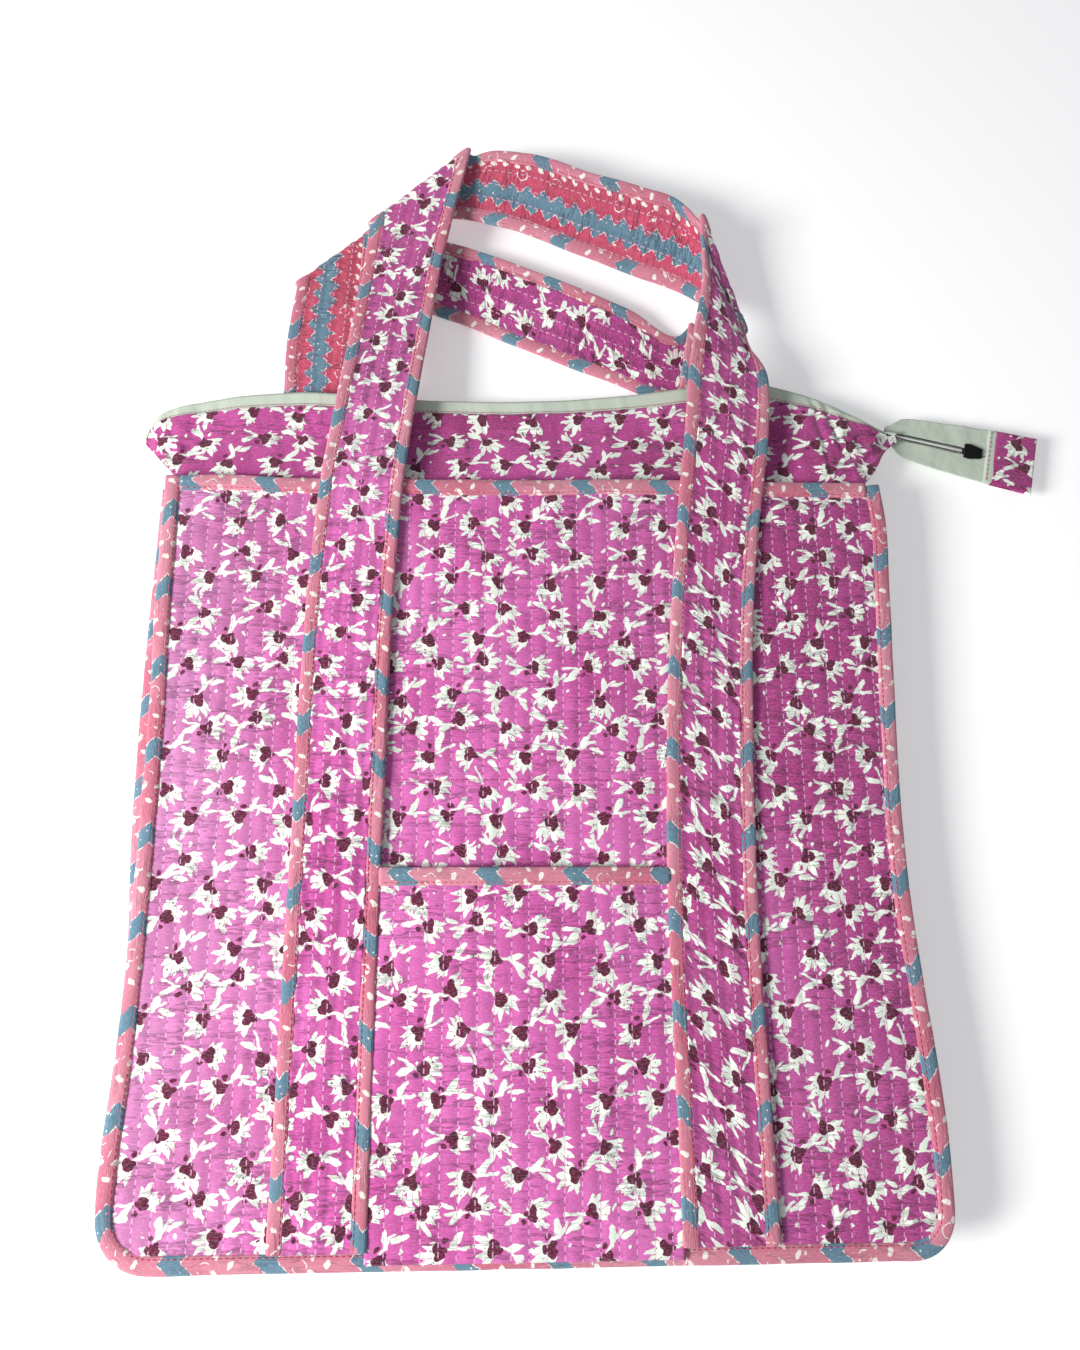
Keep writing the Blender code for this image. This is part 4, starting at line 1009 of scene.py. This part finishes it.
def closure(prefix, half, z_low, z_high, seed, nodes, flip):
    n = 340
    rows = 44
    top, low = smooth_line(TOP, n), smooth_line(LOW, n)
    # pair the two lines by x so the cloth's threads stay upright
    a = np.linspace(0, 1, n)
    b = np.linspace(0, 1, rows)
    A, B = np.meshgrid(a, b, indexing="ij")
    P = low[:, None, :] * (1 - B[..., None]) + top[:, None, :] * B[..., None]
    X, Y = P[..., 0], P[..., 1]
    zmid = 0.0130
    zt = np.interp(Y, [0.440, 0.478], [z_low, z_high])
    ends = ease(A, 0.0, 0.045) * ease(1 - A, 0.0, 0.06)
    # gathers: stronger to the right, where the cloth bunches into the neck
    g = 0.0009 + 0.0018 * ease(X, 0.13, 0.20) + 0.0006 * ease(-X, 0.19, 0.23)
    fold = fbm(A * 44, B * 1.5 + 3, seed, 3) * g * 1.2 + 0.0014 * fbm(A * 13, B * 1.2, seed + 4, 2)
    env = np.sin(np.pi * np.clip(B * 0.94 + 0.03, 0, 1)) ** 0.5
    sg = 1 if flip else -1
    z = zmid + (zt - zmid) * ends + sg * np.abs(fold) * env * ends * 1.1
    puff = 0.0024 * np.exp(-((X - 0.192) / 0.024) ** 2) * env
    # folds that fan out from the neck and, smaller, from the far end
    for cx_, cy_, dirn, size, reach in ((0.2440, 0.4850, -1, 0.0034, 0.085), (-0.2450, 0.4760, 1, 0.0016, 0.050)):
        an = np.arctan2(Y - cy_, dirn * (X - cx_))
        rad = np.hypot(X - cx_, Y - cy_)
        rg = np.clip(1 - 1.9 * np.abs(vnoise(an * 4.6 + 1.3, rad / 0.045, seed + 11)), 0, 1) ** 1.5
        z = z + sg * size * rg * ease(-rad, -reach, -reach * 0.35) * ease(rad, 0.004, 0.022) * env
    z = z + sg * puff * ends
    T = np.stack([X, Y + YS, z + sg * 0.0004], -1)
    L = np.stack([X, Y + YS, z - sg * 0.0004], -1)
    if not flip:
        T, L = T[:, ::-1], L[:, ::-1]
        X2, Y2 = X[:, ::-1], Y[:, ::-1]
    else:
        X2, Y2 = X, Y
    out = []
    half_i = int(np.argmin(np.abs(top[:, 0] + 0.098)))
    cloth_rows = int(rows * 0.885)
    tuck = max(2, round(0.0045 / (0.065 / rows)))
    uv = np.stack([X2 + 0.011, Y2 * 1.05 + 0.005], -1)
    if flip:
        sl_c, sl_t = slice(0, cloth_rows), slice(cloth_rows - tuck, rows)
    else:
        sl_c, sl_t = slice(rows - cloth_rows, rows), slice(0, rows - cloth_rows + tuck)
    for tag, i0, i1 in (("left", 0, half_i + 1), ("right", half_i, n)):
        o = shell(f"{prefix}_cloth_{tag}", T[i0:i1, sl_c][::-1], L[i0:i1, sl_c][::-1], uv[i0:i1, sl_c][::-1], M_PLAIN)
        # the tape lies under the cloth's turned edge and stands out above it
        tt, tl = T[i0:i1, sl_t].copy(), L[i0:i1, sl_t].copy()
        for arr in (tt, tl):
            arr[..., 2] -= sg * 0.0009
        uvt = np.stack([A[i0:i1, sl_t] * 0.5, B[i0:i1, sl_t] * 0.06], -1)
        t_o = shell(f"{prefix}_tape_{tag}", tt[::-1], tl[::-1], uvt[::-1], M_TAPE)
        out += [o, t_o]
    return out, top, z, T


cf, topf, zf, Tf = closure("closure_front", "front_half", 0.0215, 0.0163, 60, None, True)
cb, topb, zb_, Tb = closure("closure_back", "back_half", 0.0092, 0.0100, 70, None, False)
for i, o in enumerate(cf):
    if i < 2:
        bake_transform(o)
    else:
        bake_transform(o)
for o in cb:
    ride(o, "back_half")
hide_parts("closure_front_strip")
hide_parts("zip_tape_front")
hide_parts("closure_back_strip")
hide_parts("zip_tape_back")


def grid_map(G, lift):
    """Points on a grid surface: u and v are grid positions as fractions, h stands off along z."""
    def f(u, v, h):
        m, n = G.shape[:2]
        x, y = np.clip(u, 0, 1) * (m - 1.001), np.clip(v, 0, 1) * (n - 1.001)
        i, j = x.astype(int), y.astype(int)
        fx, fy = (x - i)[..., None], (y - j)[..., None]
        P = (G[i, j] * (1 - fx) + G[i + 1, j] * fx) * (1 - fy) + (G[i, j + 1] * (1 - fx) + G[i + 1, j + 1] * fx) * fy
        P[..., 2] += h * lift
        return P
    return f


# a line of topstitching under the tape of the front closure
LT = 0.56


def on_closure(u, v, h):
    # u in metres along, v in metres up from the line
    return grid_map(Tf, 1.0)(np.asarray(u) / LT, 0.875 + np.asarray(v) / 0.065, h)


cs1 = stitch_run("closure_stitching_left", on_closure, [(0.012, 0.150, 0.0)], 0.00005, M_THREAD_PK, 0.0031)
cs2 = stitch_run("closure_stitching_right", on_closure, [(0.150, LT - 0.014, 0.0)], 0.00005, M_THREAD_PK, 0.0031)
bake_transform(cs1)
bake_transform(cs2)


def coil_line(name, pts, mat, pitch=0.0015, r=0.00062, w=0.00026):
    """Nylon coil: a fine helix along the tape edge."""
    d = np.concatenate([[0], np.cumsum(np.linalg.norm(np.diff(pts, axis=0), axis=1))])
    per = 6
    n = int(d[-1] / pitch) * per
    s = np.linspace(0, d[-1], n)
    c = np.stack([np.interp(s, d, pts[:, i]) for i in range(3)], -1)
    t = np.gradient(c, axis=0)
    t /= np.linalg.norm(t, axis=1, keepdims=True)
    upv = np.array([0, 0, 1.0])
    sd = np.cross(upv, t)
    sd /= np.linalg.norm(sd, axis=1, keepdims=True)
    ph = 2 * np.pi * np.arange(n) / per
    hc = c + sd * (np.cos(ph) * r)[:, None] * 1.1 + upv * (np.sin(ph) * r)[:, None] * 0.8
    k = 4
    a = np.linspace(0, 2 * np.pi, k, endpoint=False)
    th = np.gradient(hc, axis=0)
    th /= np.linalg.norm(th, axis=1, keepdims=True)
    e1 = np.cross(th, t)
    e1 /= np.maximum(np.linalg.norm(e1, axis=1, keepdims=True), 1e-9)
    e2 = np.cross(th, e1)
    rings = hc[:, None, :] + w * (np.cos(a)[None, :, None] * e1[:, None, :] + np.sin(a)[None, :, None] * e2[:, None, :])
    return tube(name, rings, None, mat)


ptf = np.stack([topf[6:-4, 0], topf[6:-4, 1] + YS - 0.0022, Tf[6:-4, -1, 2] - 0.0019], -1)
ptb = np.stack([topb[6:-4, 0], topb[6:-4, 1] + YS - 0.0022, Tb[6:-4, 0, 2] + 0.0019], -1)
h = int(np.argmin(np.abs(ptf[:, 0] + 0.098)))
co_f1 = coil_line("zip_coil_front_left", ptf[:h + 1], M_COIL)
co_f2 = coil_line("zip_coil_front_right", ptf[h:], M_COIL)
co_b = coil_line("zip_coil_back_line", ptb, M_COIL)
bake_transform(co_f1)
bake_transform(co_f2)
ride(co_b, "back_half")
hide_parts("zip_coil_front")
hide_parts("zip_coil_back")

# ------------------------------------------------------------------ zip tail
NECK = (0.2400, 0.4880 + YS)
TA = deg(-12.8)
TZ = 0.0088
CA, SA = math.cos(TA), math.sin(TA)


def tail_map(a, b, h):
    return np.stack([NECK[0] + a * CA - b * SA, NECK[1] + a * SA + b * CA, TZ + h + 0 * a], -1)


def tail_sheet(name, a0, a1, inner, outer, sgn, h, thick, mat, seed, wave=0.0006):
    n, m = 90, 26
    A, B = np.meshgrid(np.linspace(a0, a1, n), np.linspace(0, 1, m), indexing="ij")
    vi, vo = np.interp(A, *inner), np.interp(A, *outer)
    V = sgn * (vi + (vo - vi) * B)
    w = wave * fbm(A / 0.012, V / 0.014, seed) + 0.0016 * np.exp(-((A - 0.001) / 0.008) ** 2) * (B - 0.3) * 1.5
    T = tail_map(A, V, h + w + thick / 2)
    L = tail_map(A, V, h + w - thick / 2)
    uv = np.stack([A, V + 0.05], -1)
    if sgn > 0:
        return shell(name, T[:, ::-1][::-1][:, ::-1], L[:, ::-1][::-1][:, ::-1], uv[:, ::-1][::-1][:, ::-1], mat)
    return shell(name, T, L, uv, mat)


inner = ([-0.004, 0.000, 0.012, 0.045, 0.0605, 0.0645, 0.070], [0.0004, 0.0012, 0.0021, 0.0022, 0.0018, 0.0003, 0.0003])
outer = ([-0.004, 0.000, 0.006, 0.012, 0.030, 0.050, 0.070], [0.0045, 0.0068, 0.0125, 0.0150, 0.0168, 0.0184, 0.0198])
tf = tail_sheet("zip_tail_tape_front", -0.004, 0.070, inner, outer, -1, 0.0, 0.0007, M_TAPE, 81)
tb = tail_sheet("zip_tail_tape_back", -0.004, 0.070, inner, outer, 1, 0.0, 0.0007, M_TAPE, 82)
parts = [tf, tb]
for sg, nm in ((-1, "front"), (1, "back")):
    a = np.linspace(0.004, 0.0600, 200)
    v = sg * (np.interp(a, *inner) - 0.0006)
    parts.append(coil_line(f"zip_tail_coil_{nm}", tail_map(a, v, 0.0002), M_COIL, 0.0010, 0.00068, 0.00030))
for o in parts:
    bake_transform(o)
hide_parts("tail_tape_front")
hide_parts("tail_tape_back")
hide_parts("tail_coil_front")
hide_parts("tail_coil_back")


def tail_pad(name, a0, a1, w0, w1, h0, h1, mat, seed, puff=0.0006, n=70, m=50, uvo=0.0):
    A, B = np.meshgrid(np.linspace(a0, a1, n), np.linspace(-1, 1, m), indexing="ij")
    W = w0 + (w1 - w0) * (A - a0) / (a1 - a0)
    V = W * B
    e = np.clip(np.minimum(np.minimum((1 - np.abs(B)) * W, A - a0), a1 - A) / 0.0022, 0, 1)
    dome = np.sqrt(np.clip(1 - (1 - e) ** 2, 0, 1))
    w = puff * fbm(A / 0.010, V / 0.012, seed)
    mid = (h0 + h1) / 2
    T = tail_map(A, V, mid + (h1 - mid) * dome + w * dome)
    L = tail_map(A, V, mid - (mid - h0) * dome + w * 0.3)
    return shell(name, T, L, np.stack([A + uvo, V], -1), mat)


band = tail_pad("zip_tail_stitched_band", 0.0655, 0.0730, 0.0198, 0.0200, -0.0013, 0.0014, M_TAPE, 91, 0.0002)
tab = tail_pad("zip_tail_end_tab", 0.0700, 0.0985, 0.0203, 0.0211, -0.0017, 0.0018, M_PLAIN, 92, 0.0005, uvo=0.31)
tst = stitch_run("zip_tail_stitching", lambda u, v, h: tail_map(v, u, h), [(-0.0185, 0.0185, 0.0672), (-0.0185, 0.0185, 0.0722)], 0.0017, M_THREAD_PK)
tst2 = stitch_run("zip_tail_tab_stitching", tail_map, [(0.0735, 0.0965, 0.0185), (0.0735, 0.0965, -0.0185)], 0.0016, M_THREAD_PK)
for o in (band, tab, tst, tst2):
    ride(o, "zip_tail")
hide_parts("tail_stitched_fold")
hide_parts("tail_end_tab")

# slider and pull keep their solids, softened at the edges
for n, w in (("slider_body", 0.00025), ("slider_pull", 0.00025)):
    ob = NODES[n]
    ob.data.materials.clear()
    ob.data.materials.append(M_METAL)
    md = ob.modifiers.new("soft_edge", "BEVEL")
    md.width = w
    md.segments = 3
    md.limit_method = "ANGLE"
    md.angle_limit = math.radians(40)
    wn = ob.modifiers.new("weighted", "WEIGHTED_NORMAL")
    wn.keep_sharp = True

# ------------------------------------------------------------------ cloth pieces, only looked up here, with no effect
for st in (fs, bs):
    st[0], st[1], st[2], st[3]
for c in (cf, cb):
    for i, o in enumerate(c):
        "zip_tape" if i % 2 else "print_cotton"

for c, other in ((cf, "front_quilted_lining"), (cb, "back_quilted_lining")):
    for i, share in ((0, 0.30), (2, 0.70)):
        c[i + 1]

# ------------------------------------------------------------------ floor, light, camera
fm_ = bpy.data.materials.new("floor")
fm_.use_nodes = True
fm_.node_tree.nodes["Principled BSDF"].inputs["Base Color"].default_value = (0.93, 0.93, 0.93, 1)
fm_.node_tree.nodes["Principled BSDF"].inputs["Roughness"].default_value = 0.9
fm_.node_tree.nodes["Principled BSDF"].inputs["Emission Color"].default_value = (1, 1, 1, 1)
fm_.node_tree.nodes["Principled BSDF"].inputs["Emission Strength"].default_value = 0.28
me = bpy.data.meshes.new("floor")
me.from_pydata([(-4, -4, -0.0009), (4, -4, -0.0009), (4, 4, -0.0009), (-4, 4, -0.0009)], [], [(0, 1, 2, 3)])
me.materials.append(fm_)
floor = bpy.data.objects.new("floor", me)
bpy.context.scene.collection.objects.link(floor)
floor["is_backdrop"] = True


def area(name, loc, target, size, power, colour=(1, 1, 1)):
    d = bpy.data.lights.new(name, "AREA")
    d.size = size
    d.energy = power
    d.color = colour
    o = bpy.data.objects.new(name, d)
    o.location = loc
    o.rotation_euler = (Vector(target) - Vector(loc)).to_track_quat("-Z", "Y").to_euler()
    bpy.context.scene.collection.objects.link(o)
    o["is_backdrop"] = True
    return o


area("key", (-1.15, -0.08, 0.80), (0.0, 0.24, 0), 0.50, 31, (1.0, 0.985, 0.97))
area("fill", (0.6, -1.0, 1.5), (0, 0.3, 0), 1.6, 3, (0.95, 0.97, 1.0))
w = bpy.data.worlds.new("studio")
bpy.context.scene.world = w
w.use_nodes = True
w.node_tree.nodes["Background"].inputs[0].default_value = (0.92, 0.95, 1.0, 1)
w.node_tree.nodes["Background"].inputs[1].default_value = 0.32

sc = bpy.context.scene
sc.view_settings.view_transform = "Standard"
sc.view_settings.look = "None"
cam = bpy.data.objects.new("camera", bpy.data.cameras.new("camera"))
sc.collection.objects.link(cam)
cam.data.sensor_width = 36.0
cam.data.lens = 36.0 * 950.0 / 1350.0
cam.data.clip_start = 0.01
right, up, fwd = Vector((0.9991, -0.0039, 0.0420)), Vector((-0.0060, 0.9725, 0.2328)), Vector((0.0418, 0.2329, -0.9716))
M = Matrix((right, up, -fwd)).transposed().to_4x4()
M.translation = Vector((-0.0187, 0.1850 + YS, 0.5786))
cam.matrix_world = M
sc.camera = cam
cam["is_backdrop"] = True

note_size("visual_box", SIZE)
